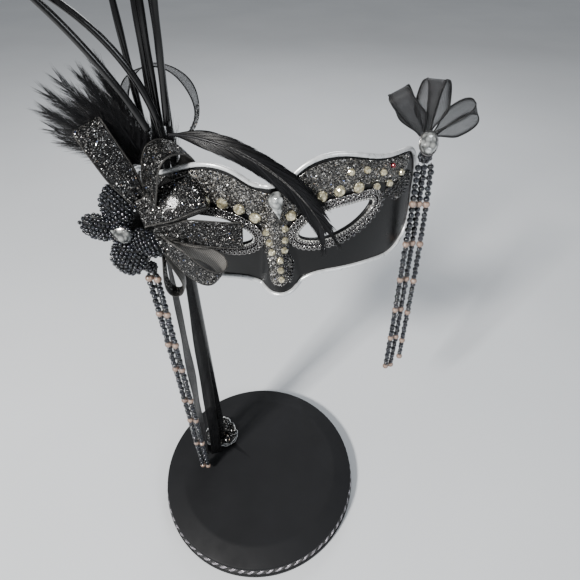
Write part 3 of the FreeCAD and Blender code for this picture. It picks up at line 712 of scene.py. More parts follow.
M_ORGANZA = woven("organza", (0.003, 0.003, 0.0035), (0.022, 0.022, 0.024), 0.0007, 0.4,
                  (0.24, 0.58), Specular_IOR_Level=0.3)
M_TAIL = woven("organza_tail", (0.001, 0.001, 0.0012), (0.009, 0.009, 0.01), 0.0007, 0.42,
               (0.72, 0.93), Specular_IOR_Level=0.25)
M_SELVAGE = rope_strand("selvage", (0.002, 0.002, 0.0025), (0.014, 0.014, 0.014), Roughness=0.4)
M_RIM = rope_strand("ribbon_rim", (0.02, 0.019, 0.018), (0.12, 0.115, 0.108), Roughness=0.4,
                    Metallic=0.4)
M_FELT = felted("felt", (0.012, 0.012, 0.013))
M_PLUME = plume()
M_QUILL = lacquer()
M_ROPE_PALE = rope_strand("rope_silver", (0.14, 0.13, 0.15), (0.55, 0.52, 0.56), Roughness=0.3,
                          Metallic=0.45)
M_ROPE_DARK = rope_strand("rope_black", (0.004, 0.004, 0.004), (0.03, 0.03, 0.031), Roughness=0.45)


# ---------------------------------------------------------------- camera, lights and floor

CAMERA_PLACE = (0.034, -0.226, 0.492)
CAMERA_TILT = 47.5
CAMERA_LENS = 27.06
SKY_COLOUR = (0.86, 0.89, 0.93, 1)
SKY_STRENGTH = 0.34
# Each lamp's name, place in metres, width in metres, watts and colour.
LAMPS = [("key", (-0.75, -0.85, 1.25), 0.2, 40, (1.0, 0.98, 0.95)),
         ("fill", (0.9, -0.7, 0.9), 0.5, 5, (0.9, 0.95, 1.0)),
         ("back", (0.2, 1.2, 1.1), 0.6, 7, (0.95, 0.97, 1.0))]
LAMP_AIM = (0, 0, 0.25)
FLOOR_REACH = 6.0


def studio():
    camera = placed("camera", bpy.data.cameras.new("camera"))
    camera.location = CAMERA_PLACE
    camera.rotation_euler = (math.radians(CAMERA_TILT), 0, 0)
    camera.data.lens = CAMERA_LENS
    camera.data.clip_start = 0.01
    bpy.context.scene.camera = camera

    world = bpy.data.worlds.new("studio")
    world.use_nodes = True
    sky = world.node_tree.nodes["Background"]
    sky.inputs["Color"].default_value = SKY_COLOUR
    sky.inputs["Strength"].default_value = SKY_STRENGTH
    bpy.context.scene.world = world

    for name, spot, width, watts, colour in LAMPS:
        lamp = bpy.data.lights.new(name, "AREA")
        lamp.size = width
        lamp.energy = watts
        lamp.color = colour
        holder = placed(name, lamp)
        holder.location = spot
        towards = Vector(LAMP_AIM) - Vector(spot)
        holder.rotation_euler = towards.to_track_quat("-Z", "Y").to_euler()

    mesh = bpy.data.meshes.new("floor")
    corners = ((-1, -1), (1, -1), (1, 1), (-1, 1))
    mesh.from_pydata([(FLOOR_REACH * x, FLOOR_REACH * y, 0) for x, y in corners], [],
                     [(0, 1, 2, 3)])
    shade = Shade("floor", Roughness=0.85)
    shade.to("Base Color", shade.ramp(shade.noise(3), [(0.3, (0.68, 0.70, 0.72)),
                                                       (0.7, (0.73, 0.75, 0.77))]))
    mesh.materials.append(shade.material)
    placed("floor", mesh)


# ---------------------------------------------------------------- cords: the six bead strings

BEAD_RADIUS = 2.25
BEAD_PITCH = BEAD_RADIUS * 1.78
PEARL_RADIUS = 2.75
PEARL_REACH = PEARL_RADIUS * 0.86  # from a pearl's centre to the bead beside it
TOP_GAP = 0.9  # bare thread above the first bead
WANDER = 0.3  # how far beads sit off the thread's line
THREAD = 0.6
POINT_RADIUS = 0.001
RIGHT_STRINGS = {
    "right_bead_string_1": [(116.9, 37, 362), (118.6, 34.5, 333), (119.6, 34.5, 299),
                            (121.8, 36, 263), (123.8, 37, 228), (125.4, 37, 192), (126.8, 37, 151)],
    "right_bead_string_2": [(121.2, 38, 361.5), (123.7, 38.4, 331), (125.6, 39, 297),
                            (127.8, 40, 261), (129.6, 40.5, 226), (131.3, 40.5, 190),
                            (132.5, 40.5, 149)],
    "right_bead_string_3": [(125.6, 38, 362), (129.6, 40, 330), (131.6, 39, 296), (133.6, 38, 260),
                            (135.2, 38, 224), (136.8, 38, 187.5), (138, 38, 165)],
}
LEFT_PEARL_HEIGHTS = [301, 267, 233, 202, 157, 124, 81, 33]
LEFT_STRINGS = {"left_bead_string_1": (-60.2, -5.5, 0), "left_bead_string_2": (-54.8, -5.5, -1.5),
                "left_bead_string_3": (-57.5, -0.8, -3)}
LEFT_TOP = 305.4
RIGHT_KNOT = (120.5, 37.5, 366.5)
LEFT_KNOT = (-57.5, -4, 309)
KNOT_RADIUS = 3.4


def thread_curve(name, points):
    """One open NURBS spline through the string's own route."""
    data = bpy.data.curves.new(name, "CURVE")
    data.dimensions = "3D"
    data.resolution_u = 16
    data.bevel_depth = THREAD / 2 * MM / POINT_RADIUS
    data.bevel_resolution = 2
    spline = data.splines.new("NURBS")
    spline.points.add(len(points) - 1)
    for target, point in zip(spline.points, points):
        target.co = (point[0] * MM, point[1] * MM, point[2] * MM, 1)
        target.radius = POINT_RADIUS
    spline.order_u = 3
    spline.use_endpoint_u = True
    data.materials.append(M_SELVAGE)
    return placed(name, data)


def route_of(thing):
    """Points along the curve's own spline, in millimetres."""
    depth = thing.data.bevel_depth
    thing.data.bevel_depth = 0
    mesh = bpy.data.meshes.new_from_object(thing)
    thing.data.bevel_depth = depth
    line = np.array([v.co[:] for v in mesh.vertices]) / MM
    bpy.data.meshes.remove(mesh)
    return spread(line, 900)


def bead_string(name, points, pearl_spots, body, twist):
    """A thread, the beads between its pearls, and the pearls."""
    thread = thread_curve(name + "_thread", points)
    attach(thread, body)
    route = route_of(thread)
    at = lengths(route)
    along = tangents(route)
    side = carried(route, (1, 0.2, 0))

    def spot(distance):
        return np.array([np.interp(distance, at, route[:, k]) for k in range(3)])

    def step_at(distance):
        return min(int(np.searchsorted(at, distance)), len(at) - 1)

    stops = [at[np.argmin(np.linalg.norm(route - point, axis=1))] for point in pearl_spots]
    centres, axes, sizes = [], [], []
    edge = TOP_GAP
    for stop in stops:
        room = stop - PEARL_REACH - edge
        number = max(1, round(room / BEAD_PITCH))
        squeeze = min(1.0, max(0.5, room / number / (BEAD_RADIUS * 1.5)))
        for k in range(number):
            distance = edge + room * (k + 0.5) / number
            index = step_at(distance)
            turn = twist + len(centres) * math.pi * 0.93
            other = np.cross(along[index], side[index])
            centres.append(spot(distance)
                           + WANDER * (math.cos(turn) * side[index] + math.sin(turn) * other))
            axes.append(along[index] + dice.normal(0, 0.16, 3))
            sizes.append(BEAD_RADIUS * squeeze * dice.uniform(0.94, 1.04))
        edge = stop + PEARL_REACH
    beads = Build()
    beads.stamp(BEAD, centres, facing_axes(np.array(axes), spins(len(axes))), sizes)
    pearls = Build()
    pearl_axes = np.array([along[step_at(stop)] for stop in stops])
    pearls.stamp(BEAD_FINE, [spot(stop) for stop in stops],
                 facing_axes(pearl_axes, spins(len(stops))), PEARL_RADIUS)
    strung = piece(name + "_beads", beads, [M_BEAD], [name], body)
    pearly = piece(name + "_pearls", pearls, [M_PEARL], body=body)
    return thread, strung, pearly


def knot(name, centre, radius, body, bead_radius):
    """A cluster of beads wound over the tie of a tassel."""
    build = Build()
    centres, axes = [], []
    for layer, height in enumerate(np.linspace(-0.75, 0.75, 4)):
        ring = math.sqrt(1 - height * height)
        number = max(3, round(TAU * radius * ring / (bead_radius * 1.95)))
        for k in range(number):
            angle = TAU * (k + 0.5 * (layer % 2)) / number
            out = np.array([math.cos(angle) * ring, math.sin(angle) * ring, height])
            centres.append(np.asarray(centre) + out * (radius - bead_radius * 0.35))
            axes.append(np.cross(out, (0.1, 0.2, 1)))
    build.stamp(BEAD, centres, facing_axes(np.array(axes), spins(len(axes))),
                bead_radius)
    ball, faces = icosphere(3)
    build.add(ball * radius * 0.8 + np.asarray(centre), faces[0], kind=1)
    piece(name + "_wrap", build, [M_BEAD, M_FELT], [name], body)


def tassels():
    knot("right_tassel_knot", RIGHT_KNOT, KNOT_RADIUS + 0.5, "right_tassel_head", 1.5)
    knot("left_tassel_knot", LEFT_KNOT, KNOT_RADIUS + 0.3, "left_tassel_head", 1.3)
    for index, (name, points) in enumerate(RIGHT_STRINGS.items()):
        body = f"right_string_{index + 1}"
        bead_string(name, points, np.array(points[1:], float), body, index * 2.1)
    for index, (name, (x, y, drop)) in enumerate(LEFT_STRINGS.items()):
        points = [(x, y, LEFT_TOP)] + [(x, y, z + drop) for z in LEFT_PEARL_HEIGHTS]
        bead_string(name, points, np.array(points[1:], float), "left_strings",
                                    index * 2.1)


# ---------------------------------------------------------------- base and stick

STICK = np.array([-45.5, 35.6])
STICK_HEIGHTS = [7.5, 8.2, 20, 60, 120, 180, 240, 300, 340, 349.2, 350]
STICK_RADII = [4.3, *[4.75] * 8, 4.5, 3.9]
SOCKET_RADIUS = 4.85
BOARD_PROFILE = [(0, 22), (80.5, 22), (82.3, 21.9), (84, 21.55), (99.2, 17.65), (100.3, 17.25),
                 (100.85, 16.6), (101, 15.8), (101, 14.2), (100.8, 13.7), (100.3, 13.5),
                 (96.9, 13.5), (96.5, 13.1), (96.5, 6.9), (96.9, 6.5), (102.2, 6.5), (102.8, 6.2),
                 (103, 5.6), (103, 2.3), (102.8, 1.7), (102.2, 1.5), (0, 1.5)]
ROPE_RADIUS, ROPE_HEIGHT, ROPE_TURNS, STRAND_RADIUS = 99.5, 10, 35, 1.38


def upright(low, high):
    return [(*STICK, low), (*STICK, high)]


def base():
    build = Build()
    build.add(*lathe([(max(radius, 0.001), height) for radius, height in BOARD_PROFILE], 256))
    board = piece("base_board", build, [M_BASE], ["base_plaque"], "base")
    edit = bmesh.new()
    edit.from_mesh(board.data)
    bmesh.ops.remove_doubles(edit, verts=edit.verts, dist=0.000005)
    bmesh.ops.recalc_face_normals(edit, faces=edit.faces)
    edit.to_mesh(board.data)
    edit.free()

    bore = Build()
    bore.tube(upright(7, 30), SOCKET_RADIUS, sides=48)
    tool = piece("bore_tool", bore, [M_BASE], body="base")
    carve = board.modifiers.new("socket", "BOOLEAN")
    carve.object = tool
    carve.operation = "DIFFERENCE"
    graph = bpy.context.evaluated_depsgraph_get()
    carved = bpy.data.meshes.new_from_object(board.evaluated_get(graph))
    board.modifiers.clear()
    board.data = carved
    bpy.data.objects.remove(tool)

    count = 1400
    angle = np.arange(count) * TAU / count
    rope = Build()
    for strand in range(4):
        swing = ROPE_TURNS * angle + strand * TAU / 4
        radius = ROPE_RADIUS + 1.5 * np.cos(swing)
        path = np.stack([radius * np.cos(angle), radius * np.sin(angle),
                         ROPE_HEIGHT + 1.75 * np.sin(swing)], axis=1)
        rope.tube(path, STRAND_RADIUS, sides=8, closed=True, kind=strand % 2, first=(0, 0, 1))
    piece("rope_strands", rope, [M_ROPE_PALE, M_ROPE_DARK], ["base_rope_trim"],
          "base")
    paint_node("base_felt_pad", M_FELT)


def paint_node(name, material):
    """A better finish on a CAD node that stays."""
    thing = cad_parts[name]
    thing.data.materials.clear()
    thing.data.materials.append(material)


def foot_ruffle():
    """A gathered ribbon frill in two turns round the stick's foot."""
    n, m = 720, 9
    turn = np.linspace(0, 2 * TAU, n)
    risen = turn / (2 * TAU)
    grid = np.zeros((n, m, 3))
    for k, v in enumerate(np.linspace(0, 1, m)):
        wave = np.sin(9.5 * turn + 0.8 * np.sin(2.3 * turn)) * v
        lift = 0.7 + 0.5 * risen
        radius = 5.9 + v * (12.4 - 1.6 * np.sin(3 * turn)) + 0.5 * wave - 1.4 * v * risen
        height = 23.1 + v * 3.0 * lift + 1.9 * wave * (0.5 + 0.5 * v) + 2.2 * v * risen
        grid[:, k] = np.stack([STICK[0] + radius * np.cos(turn), STICK[1] + radius * np.sin(turn),
                               np.maximum(height, 22.6 + 0.2 * v)], axis=1)
    build = Build()
    build.band(grid, 0.35)
    frill = piece("foot_frill", build, [M_RIBBON], ["foot_ruffle"], "foot_collar")
    extra = Build()
    extra.tube(grid[:, -1], 0.35, sides=6)
    scatter_flakes(extra, grid, 1100, 0.55)
    glints = piece("foot_frill_glints", extra, [M_PIPING, M_FLAKES],
                   body="foot_collar")


def stick():
    build = Build()
    build.tube([(*STICK, height) for height in STICK_HEIGHTS], STICK_RADII, sides=48)
    piece("stick_dowel", build, [M_STICK], ["stick"])
    paint_node("stick_mount_patch", M_LEATHER)
    paint_node("rosette_backing", M_FELT)
    paint_node("rosette_core", M_FELT)


# ---------------------------------------------------------------- mask

MASK = np.array([24.5, 0.8, 335.0])
ROLL = math.radians(4.5)
WRAP = 118.0  # radius of the wrap round the face
NOSE_AXIS, NOSE_FOOT_RADIUS, NOSE_TOP_RADIUS, NOSE_FOOT, NOSE_TOP = 3.0, 15.0, 3.0, -55.0, 45.0
NOSE_BLEND = 4.0
SHELL = 2.0
CREST = (2.6, 19.5)  # where the forehead crystal sits
OUTLINE_TOP = [(7, 31.2), (19, 39), (26, 42.5), (36, 43.8), (48, 41.3), (62, 35.3), (78, 30.6),
               (88, 27.8)]
OUTLINE_END = [(92.5, 20), (94, 0), (93.5, -23), (90, -36.5), (80, -44.5)]
OUTLINE_FOOT = [(66, -43), (48, -40), (32, -38), (20, -38.8), (10, -43)]
EYE = [(15, -5.5), (23, 4), (35, 8.5), (49, 8.5), (62, 5.5), (55, -3), (42, -9), (28, -11)]
COAT = [(10, 29.5), (20, 36.5), (34, 41), (50, 38.5), (66, 31.8), (80, 28.2), (88, 25.4), (84, 12),
        (66, 17.5), (50, 18.8), (34, 18.6), (20, 15), (8.5, 5), (8, -8), (6, -24), (4, -37)]
END_FIELD = [(72, 9), (80, 10), (89, 13), (90.5, 2), (84, -3), (75, 2)]
NOSE_FIELD = [(5.5, -15), (8.5, -19), (9, -29), (6.5, -38), (3.8, -29)]
LARGE_STONES = [(11, 10), (20, 16), (30, 19.5), (41, 20.5), (53, 19)]
SMALL_STONES = [(65, 15), (48, 31), (58, 29), (69, 23), (74, 13)]
END_STONES = [(82.5, 16)]
NOSE_STONES = [(-4.6, 1.2), (-3.4, -5.4), (-2.6, -12), (6, 2), (5.4, -5.5), (4.6, -12),
               (1.6, -18.2), (1.4, -25.6), (1.3, -32.6)]
COAT_LIFT = 0.4


def flipped(points):
    return [(-x, z) for x, z in reversed(points)]


def both_sides(right_half, ends=()):
    return [*ends[:1], *right_half, *ends[1:], *flipped(right_half)]


OUTLINE = both_sides(OUTLINE_TOP + OUTLINE_END + OUTLINE_FOOT, ((0, 31), (0, -44)))


def depth(x, z):
    """How far behind the brow the front face lies, with the nose blended in softly."""
    wrap = WRAP - np.sqrt(WRAP ** 2 - x ** 2)
    share = (z - NOSE_FOOT) / (NOSE_TOP - NOSE_FOOT)
    nose = NOSE_FOOT_RADIUS + share * (NOSE_TOP_RADIUS - NOSE_FOOT_RADIUS)
    nose = np.maximum(nose, 0.5)
    rise = np.maximum(1 - (x / nose) ** 2, 0) ** 0.8
    cone = NOSE_AXIS - nose * rise + np.maximum(np.abs(x) - nose, 0) * 1.2
    h = np.clip(0.5 + 0.5 * (wrap - cone) / NOSE_BLEND, 0, 1)
    return wrap * (1 - h) + cone * h - NOSE_BLEND * h * (1 - h)


def surface(xz, lift=0.0):
    """Points and outward normals of the mask's face, in the shared frame, at local points."""
    xz = np.asarray(xz, float)
    x, z = xz[..., 0], xz[..., 1]
    step = 0.4
    dx = (depth(x + step, z) - depth(x - step, z)) / (2 * step)
    dz = (depth(x, z + step) - depth(x, z - step)) / (2 * step)
    normal = unit(np.stack([dx, -np.ones_like(x), dz], axis=-1))
    local = np.stack([x, depth(x, z), z], axis=-1) + normal * np.asarray(lift)[..., None]
    return to_row(local, True), to_row(normal, False)


def to_row(local, place):
    """Local vectors rolled into the shared frame, and moved to the mask's place if asked."""
    c, s = math.cos(ROLL), math.sin(ROLL)
    turned = np.stack([local[..., 0] * c - local[..., 2] * s, local[..., 1],
                       local[..., 0] * s + local[..., 2] * c], axis=-1)
    return turned + MASK if place else turned


def inside(points, outline):
    """Which points lie in a closed outline."""
    x, y = points[:, 0, None], points[:, 1, None]
    x1, y1 = outline[:, 0], outline[:, 1]
    x2, y2 = np.roll(x1, -1), np.roll(y1, -1)
    crosses = (y1 > y) != (y2 > y)
    with np.errstate(divide="ignore", invalid="ignore"):
        where = (x2 - x1) * (y - y1) / (y2 - y1) + x1
    return (np.sum(crosses & (x < where), axis=1) % 2).astype(bool)


def shifted(outline, distance):
    """A closed outline moved outwards (its points run clockwise)."""
    along = tangents(np.c_[outline, np.zeros(len(outline))], True)
    return outline + np.stack([-along[:, 1], along[:, 0]], axis=1) * distance


def signed_area(a, b, c):
    """Twice the area of flat triangles, positive where they turn to the left."""
    return (b[:, 0] - a[:, 0]) * (c[:, 1] - a[:, 1]) - (b[:, 1] - a[:, 1]) * (c[:, 0] - a[:, 0])


def fill(outlines, spacing):
    """Triangles over the first outline, less the others, with points on a regular grid inside."""
    ring_points = np.concatenate(outlines)
    edges = []
    start = 0
    for ring in outlines:
        edges += [(start + k, start + (k + 1) % len(ring)) for k in range(len(ring))]
        start += len(ring)
    low, high = outlines[0].min(axis=0), outlines[0].max(axis=0)
    rows = []
    for index, z in enumerate(np.arange(low[1], high[1], spacing * 0.87)):
        shift = 0.5 * spacing * (index % 2)
        for x in np.arange(low[0] + shift, high[0], spacing):
            rows.append((x, z))
    grid = np.array(rows)
    keep = inside(grid, outlines[0])
    for ring in outlines[1:]:
        keep &= ~inside(grid, ring)
    gap = np.min(np.linalg.norm(grid[:, None] - ring_points[None], axis=2), axis=1)
    grid = grid[keep & (gap > spacing * 0.45)]
    points = [Vector(p) for p in np.concatenate([ring_points, grid])]
    made = geometry.delaunay_2d_cdt(points, edges, [], 0, 1e-5)
    verts = np.array([v[:] for v in made[0]])
    faces = np.array([f for f in made[2] if len(f) == 3])
    middle = verts[faces].mean(axis=1)
    keep = inside(middle, outlines[0])
    for ring in outlines[1:]:
        keep &= ~inside(middle, ring)
    faces = faces[keep]
    turn = signed_area(verts[faces[:, 0]], verts[faces[:, 1]], verts[faces[:, 2]])
    faces[turn < 0] = faces[turn < 0][:, ::-1]
    return verts, faces


def mask_body():
    """The shell and the piping round its edge. Gives the outlines of the two eye holes."""
    outline = round_loop(OUTLINE, 420)
    eyes = [round_loop(EYE, 120), round_loop(flipped(EYE), 120)]
    verts, faces = fill([outline] + eyes, 2.0)
    points, normals = surface(verts)
    build = Build()
    build.patch(points, faces, normals, -SHELL, 0.0)
    kinds = np.array(build.kinds)
    kinds[len(faces):2 * len(faces)] = 1
    build.kinds = kinds.tolist()
    piece("mask_form", build, [M_MASK, M_LINING], ["mask_shell"])

    cord = Build()
    path = surface(shifted(outline, 0.9), 0.4)[0]
    cord.tube(path, 1.5, 14, closed=True, first=(0, 1, 0))
    piece("edge_piping", cord, [M_PIPING], ["mask_edge_cord"])
    return eyes


def along_ring(ring, spacing, lift):
    """Evenly spaced face points round a closed outline, with normals and directions."""
    closed = np.vstack([ring, ring[:1]])
    count = int(lengths(closed)[-1] / spacing)
    spots = spread(closed, count + 1)[:-1]
    points, normals = surface(spots, np.full(len(spots), lift))
    return points, normals, tangents(points, True)


def chain_link():
    """An oval wire link of half-length 1 along X."""
    angle = np.arange(14) * TAU / 14
    path = np.stack([np.cos(angle), 0.62 * np.sin(angle), np.zeros(14)], axis=1)
    build = Build()
    build.tube(path, 0.3, sides=6, closed=True, first=(0, 0, 1))
    return np.concatenate(build.verts), [np.array(build.faces)]


def cup():
    """A small square cup with a domed top."""
    square = [(-0.9, -0.9), (0.9, -0.9), (0.9, 0.9), (-0.9, 0.9)]
    return cut_stone(square, 1.2, 0.5, 0.5, 0.95)


def axes_from(x, z):
    y = np.cross(z, x)
    return np.stack([x, y, z], axis=1)


def eye_trims(eyes):
    """Cups and balls along each eye's rim, and a curb chain with jet beads outside them."""
    link, square = chain_link(), cup()
    for side, eye, mirror in (("right", eyes[0], 1), ("left", eyes[1], -1)):
        inner = Build()
        points, normals, along = along_ring(shifted(eye, 1.45), 1.95, 0.1)
        inner.stamp(square, points, axes_from(along, normals), 0.92, smooth=False)
        points, normals, along = along_ring(shifted(eye, 3.0), 1.6, 0.9)
        inner.stamp(SMALL_BALL, points, axes_from(along, normals), 0.78, kind=1)
        bed = surface(shifted(eye, 2.1), np.full(len(eye), 0.25))[0]
        inner.tube(bed, 1.35, sides=8, closed=True, kind=1, tint=0.1, first=(0, 1, 0), flat=0.4)
        piece(f"{side}_eye_cup_chain", inner, [M_SILVER, M_GUNMETAL],
              [f"{side}_eye_inner_trim"])

        outer = Build()
        points, normals, along = along_ring(shifted(eye, 6.0), 1.65, 1.0)
        swing = np.where(np.arange(len(points)) % 2 == 0, 0.62, -0.62)[:, None]
        across = np.cross(normals, along)
        direction = unit(along * np.cos(swing) + across * np.sin(swing))
        tip = unit(normals + across * np.sign(swing) * 0.25)
        tip = unit(tip - direction * np.sum(tip * direction, axis=1, keepdims=True))
        outer.stamp(link, points, axes_from(direction, tip), 2.15)
        end = np.array([p for p in shifted(eye, 7.2) if p[0] * mirror > 38 and p[1] < 9])
        end = end[np.argsort(end[:, 1])]
        spots = spread(end, max(2, int(lengths(end)[-1] / 3.6)))
        points, normals = surface(spots, np.full(len(spots), 1.5))
        outer.stamp(BALL, points, facing_axes(normals, np.zeros(len(points))), 1.5, kind=1)
        piece(f"{side}_eye_curb_chain", outer, [M_GUNMETAL, M_MICRO],
              [f"{side}_eye_outer_trim"])


def scatter_on(verts, faces, count):
    """Random local points over triangles."""
    a, b, c = verts[faces[:, 0]], verts[faces[:, 1]], verts[faces[:, 2]]
    area = np.abs(signed_area(a, b, c))
    pick = dice.choice(len(faces), count, p=area / area.sum())
    r, s = np.sqrt(dice.random(count))[:, None], dice.random(count)[:, None]
    return a[pick] * (1 - r) + b[pick] * r * (1 - s) + c[pick] * r * s


def spaced_out(points, gap):
    """The points that keep a gap from all earlier ones."""
    kept = []
    for p in points:
        if not kept or np.min(np.sum((np.array(kept) - p) ** 2, axis=1)) > gap * gap:
            kept.append(p)
    return np.array(kept)


def mask_coats():
    """The lumpy glitter coat with its loose flakes, and the two fields of tiny beads."""
    coat = round_loop(both_sides(COAT), 360)
    verts, faces = fill([coat], 1.6)
    points, normals = surface(verts)
    lump = np.sin(verts[:, 0] * 1.1) * np.cos(verts[:, 1] * 1.3) + np.sin(verts[:, 0] * 0.43 + 2)
    lift = COAT_LIFT + 0.12 * lump[:, None]
    build = Build()
    build.patch(points, faces, normals, 0.02, lift)
    spots = scatter_on(verts, faces, 6500)
    flake_lift = np.full(len(spots), COAT_LIFT + 0.15) + dice.random(len(spots)) * 0.25
    where, out = surface(spots, flake_lift)
    lean = unit(out + dice.normal(0, 0.42, out.shape))
    build.stamp(FLAKE, where, facing_axes(lean, spins(len(lean))),
                dice.uniform(0.18, 0.44, len(lean)), kind=1, smooth=False)
    piece("glitter_and_glue", build, [M_COAT, M_FLAKES], ["glitter_coat"])

    for name, outline, gap, radius in (("bead_field_end", END_FIELD, 1.25, 0.72),
                                       ("bead_field_nose", NOSE_FIELD, 1.3, 0.75)):
        ring = round_loop(outline, 80)
        verts, faces = fill([ring], 2.0)
        spots = spaced_out(scatter_on(verts, faces, 900), gap)
        build = Build()
        where, out = surface(spots, np.full(len(spots), 0.75))
        build.stamp(SMALL_BALL, where, facing_axes(out, np.zeros(len(out))),
                    radius * dice.uniform(0.75, 1.1, len(out)))
        points, normals = surface(verts)
        build.patch(points, faces, normals, 0.02, 0.35, kind=1)
        piece(name + "_grains", build, [M_MICRO, M_COAT], [name])


def stones_at(build, spots, radius, height):
    """Round flat-backed stones on the coat, each in a thin collar of glue."""
    points, normals = surface(spots, np.full(len(spots), COAT_LIFT))
    axes = facing_axes(normals, spins(len(spots)))
    stone = cut_stone(oval(1.0, 1.0, 12), height / radius, 0.62, 0.2, 0.9)
    build.stamp(stone, points, axes, radius, smooth=False)
    collar, faces = lathe([(1.0, 0.05), (1.12, 0.0), (1.16, -0.12), (1.05, -0.14), (0.98, -0.06),
                           (1.0, 0.05)], 24)
    build.stamp((collar, [faces]), points, axes, radius, kind=1)


def pear_outline(length, radius, sides=20):
    """A pear outline centred on its box, from its point at -X to its round end."""
    centre = length - radius
    sweep = math.pi / 2 + math.asin(radius / centre)
    angle = np.linspace(-sweep, sweep, sides - 1)
    arc = np.stack([centre + radius * np.cos(angle), radius * np.sin(angle)], axis=1)
    return np.vstack([[0.0, 0.0], arc]) - (length / 2, 0)


def mask_stones():
    small = SMALL_STONES + END_STONES + flipped(SMALL_STONES)
    groups = (("brow_stones_large", LARGE_STONES + flipped(LARGE_STONES), 3.7, 2.4, M_GEM),
              ("brow_stones_small", small, 2.3, 2.2, M_GEM),
              ("nose_stones", NOSE_STONES, 2.3, 2.2, M_GEM),
              ("red_accent_stone", [(75.5, 24.5)], 1.6, 2.0, M_RED))
    for name, spots, radius, height, finish in groups:
        build = Build()
        stones_at(build, spots, radius, height)
        piece(name + "_cut", build, [finish, M_COAT], [name])
    point, normal = surface(np.array([CREST]), np.array([COAT_LIFT + 0.9]))
    up = to_row(np.array([0.0, 0.0, 1.0]), False)
    axes = frame_at(-(up - normal[0] * np.dot(up, normal[0])), normal[0])
    build = Build()
    verts, faces = cut_stone(pear_outline(18.0, 5.0), 4.2, 0.5, 0.25, 0.82)
    build.stamp((verts * [-1, -1, 1], faces), point, axes[None], smooth=False)
    piece("forehead_crystal_cut", build, [M_CLEAR], ["forehead_crystal"])


# ---------------------------------------------------------------- ribbons

def scatter_flakes(build, grid, count, radius, both=False, share=(0, 1)):
    """Flakes lying at random on a grid surface, in the piece's second material."""
    n, m, _ = grid.shape
    i = dice.uniform(share[0] * (n - 1), share[1] * (n - 1) - 0.001, count)
    j = dice.uniform(0.05 * (m - 1), 0.95 * (m - 1), count)
    i0, j0 = i.astype(int), j.astype(int)
    fi, fj = (i - i0)[:, None], (j - j0)[:, None]
    a, b, c, d = grid[i0, j0], grid[i0, j0 + 1], grid[i0 + 1, j0], grid[i0 + 1, j0 + 1]
    spots = (a * (1 - fi) + c * fi) * (1 - fj) + (b * (1 - fi) + d * fi) * fj
    normals = unit(np.cross(b - a + 1e-9, c - a))
    if both:
        normals = normals * np.where(dice.random(count) < 0.5, 1, -1)[:, None]
    lean = unit(normals + dice.normal(0, 0.33, normals.shape))
    build.stamp(FLAKE, spots + normals * (0.42 + 0.1 * dice.random(count)[:, None]),
                facing_axes(lean, spins(count)), radius * dice.uniform(0.7, 1.25, count), kind=1,
                smooth=False)


LOOP_STEPS, LOOP_ROWS = 90, 15
SHEER = 0.22


def loop_grid(start, reach, wide, length, radius, width, pinch, folds, cup=0.0, twist=0.0,
              lean=0.0, rounding=0.1):
    """A ribbon loop: out from the bunch, round its end and back, pinched where it is tied."""
    start = np.asarray(start, float)
    x_axis, y_axis, z_axis = frame_at(reach, wide)
    t = np.linspace(0, 1, LOOP_STEPS)
    x = length * np.sin(math.pi * t) ** 0.92
    y = -radius * np.sin(TAU * t) * (0.75 + 0.25 * np.sin(math.pi * t))
    opened = smoothstep(x / (0.5 * length))
    half = (width / 2 * (pinch + (1 - pinch) * opened)
            * (1 - rounding * np.exp(-((t - 0.5) / 0.045) ** 2)))
    s = np.linspace(-1, 1, LOOP_ROWS)
    grid = (start + x[:, None, None] * x_axis + y[:, None, None] * y_axis
            + (half[:, None] * s[None])[:, :, None] * z_axis)
    crease = folds * (1 - opened)[:, None] * np.cos(2.5 * math.pi * s)[None]
    bowl = cup * (s ** 2 - 0.4)[None] * opened[:, None]
    sign = np.where(t < 0.5, 1.0, -1.0)[:, None]
    grid = grid + (crease + bowl * sign)[:, :, None] * y_axis
    grid = grid + (lean * (t - 0.5) * opened)[:, None, None] * z_axis
    if twist:
        turn = twist * (x / length)
        spine = start + x[:, None, None] * x_axis
        offset = grid - spine
        cos, sin = np.cos(turn)[:, None, None], np.sin(turn)[:, None, None]
        along_y = (offset @ y_axis)[..., None]
        along_z = (offset @ z_axis)[..., None]
        grid = (spine + (along_y * cos - along_z * sin) * y_axis
                + (along_y * sin + along_z * cos) * z_axis)
    return grid


# Each loop's start, reach, wide direction, length, half-opening and width.
GLITTER_LOOPS = {
    "ribbon_loop_upper_left": ((-56, 7, 348), (-0.41, 0.11, 0.87), (0.83, 0.37, 0.4), 54, 5, 17),
    "ribbon_loop_top": ((-51.5, 3, 349.5), (0.5, 0.25, 0.81), (0.76, -0.65, 0.08), 41, 14, 18),
    "ribbon_loop_middle": ((-56, -3, 348.5), (0.93, 0.24, 0.27), (-0.36, 0.63, 0.69), 40, 5, 22),
    "ribbon_loop_right": ((-49, -5, 337), (0.99, -0.06, 0.0), (0.0, 0.2, 0.97), 54, 3.5, 16),
    "ribbon_loop_lower_right": ((-47, -7, 333), (0.84, -0.12, -0.53), (0.6, -0.31, 0.74), 44, 9,
                                18),
    "ribbon_loop_bottom": ((-48, -1, 322), (0.2, -0.2, -0.96), (0.12, -0.95, 0.2), 33, 6.5, 13),
}
BOW_LOOPS = {
    "bow_loop_left": ((116.5, 39, 380), (-0.6, -0.02, 0.8), (0.75, -0.3, 0.6), 33, 6, 13),
    "bow_loop_middle": ((119.5, 40, 381), (-0.03, 0.03, 0.99), (0.9, -0.43, 0.0), 31, 5.5, 13),
    "bow_loop_right": ((123.5, 41, 379), (0.84, 0.1, 0.53), (-0.4, -0.35, 0.85), 28.5, 5, 14),
}


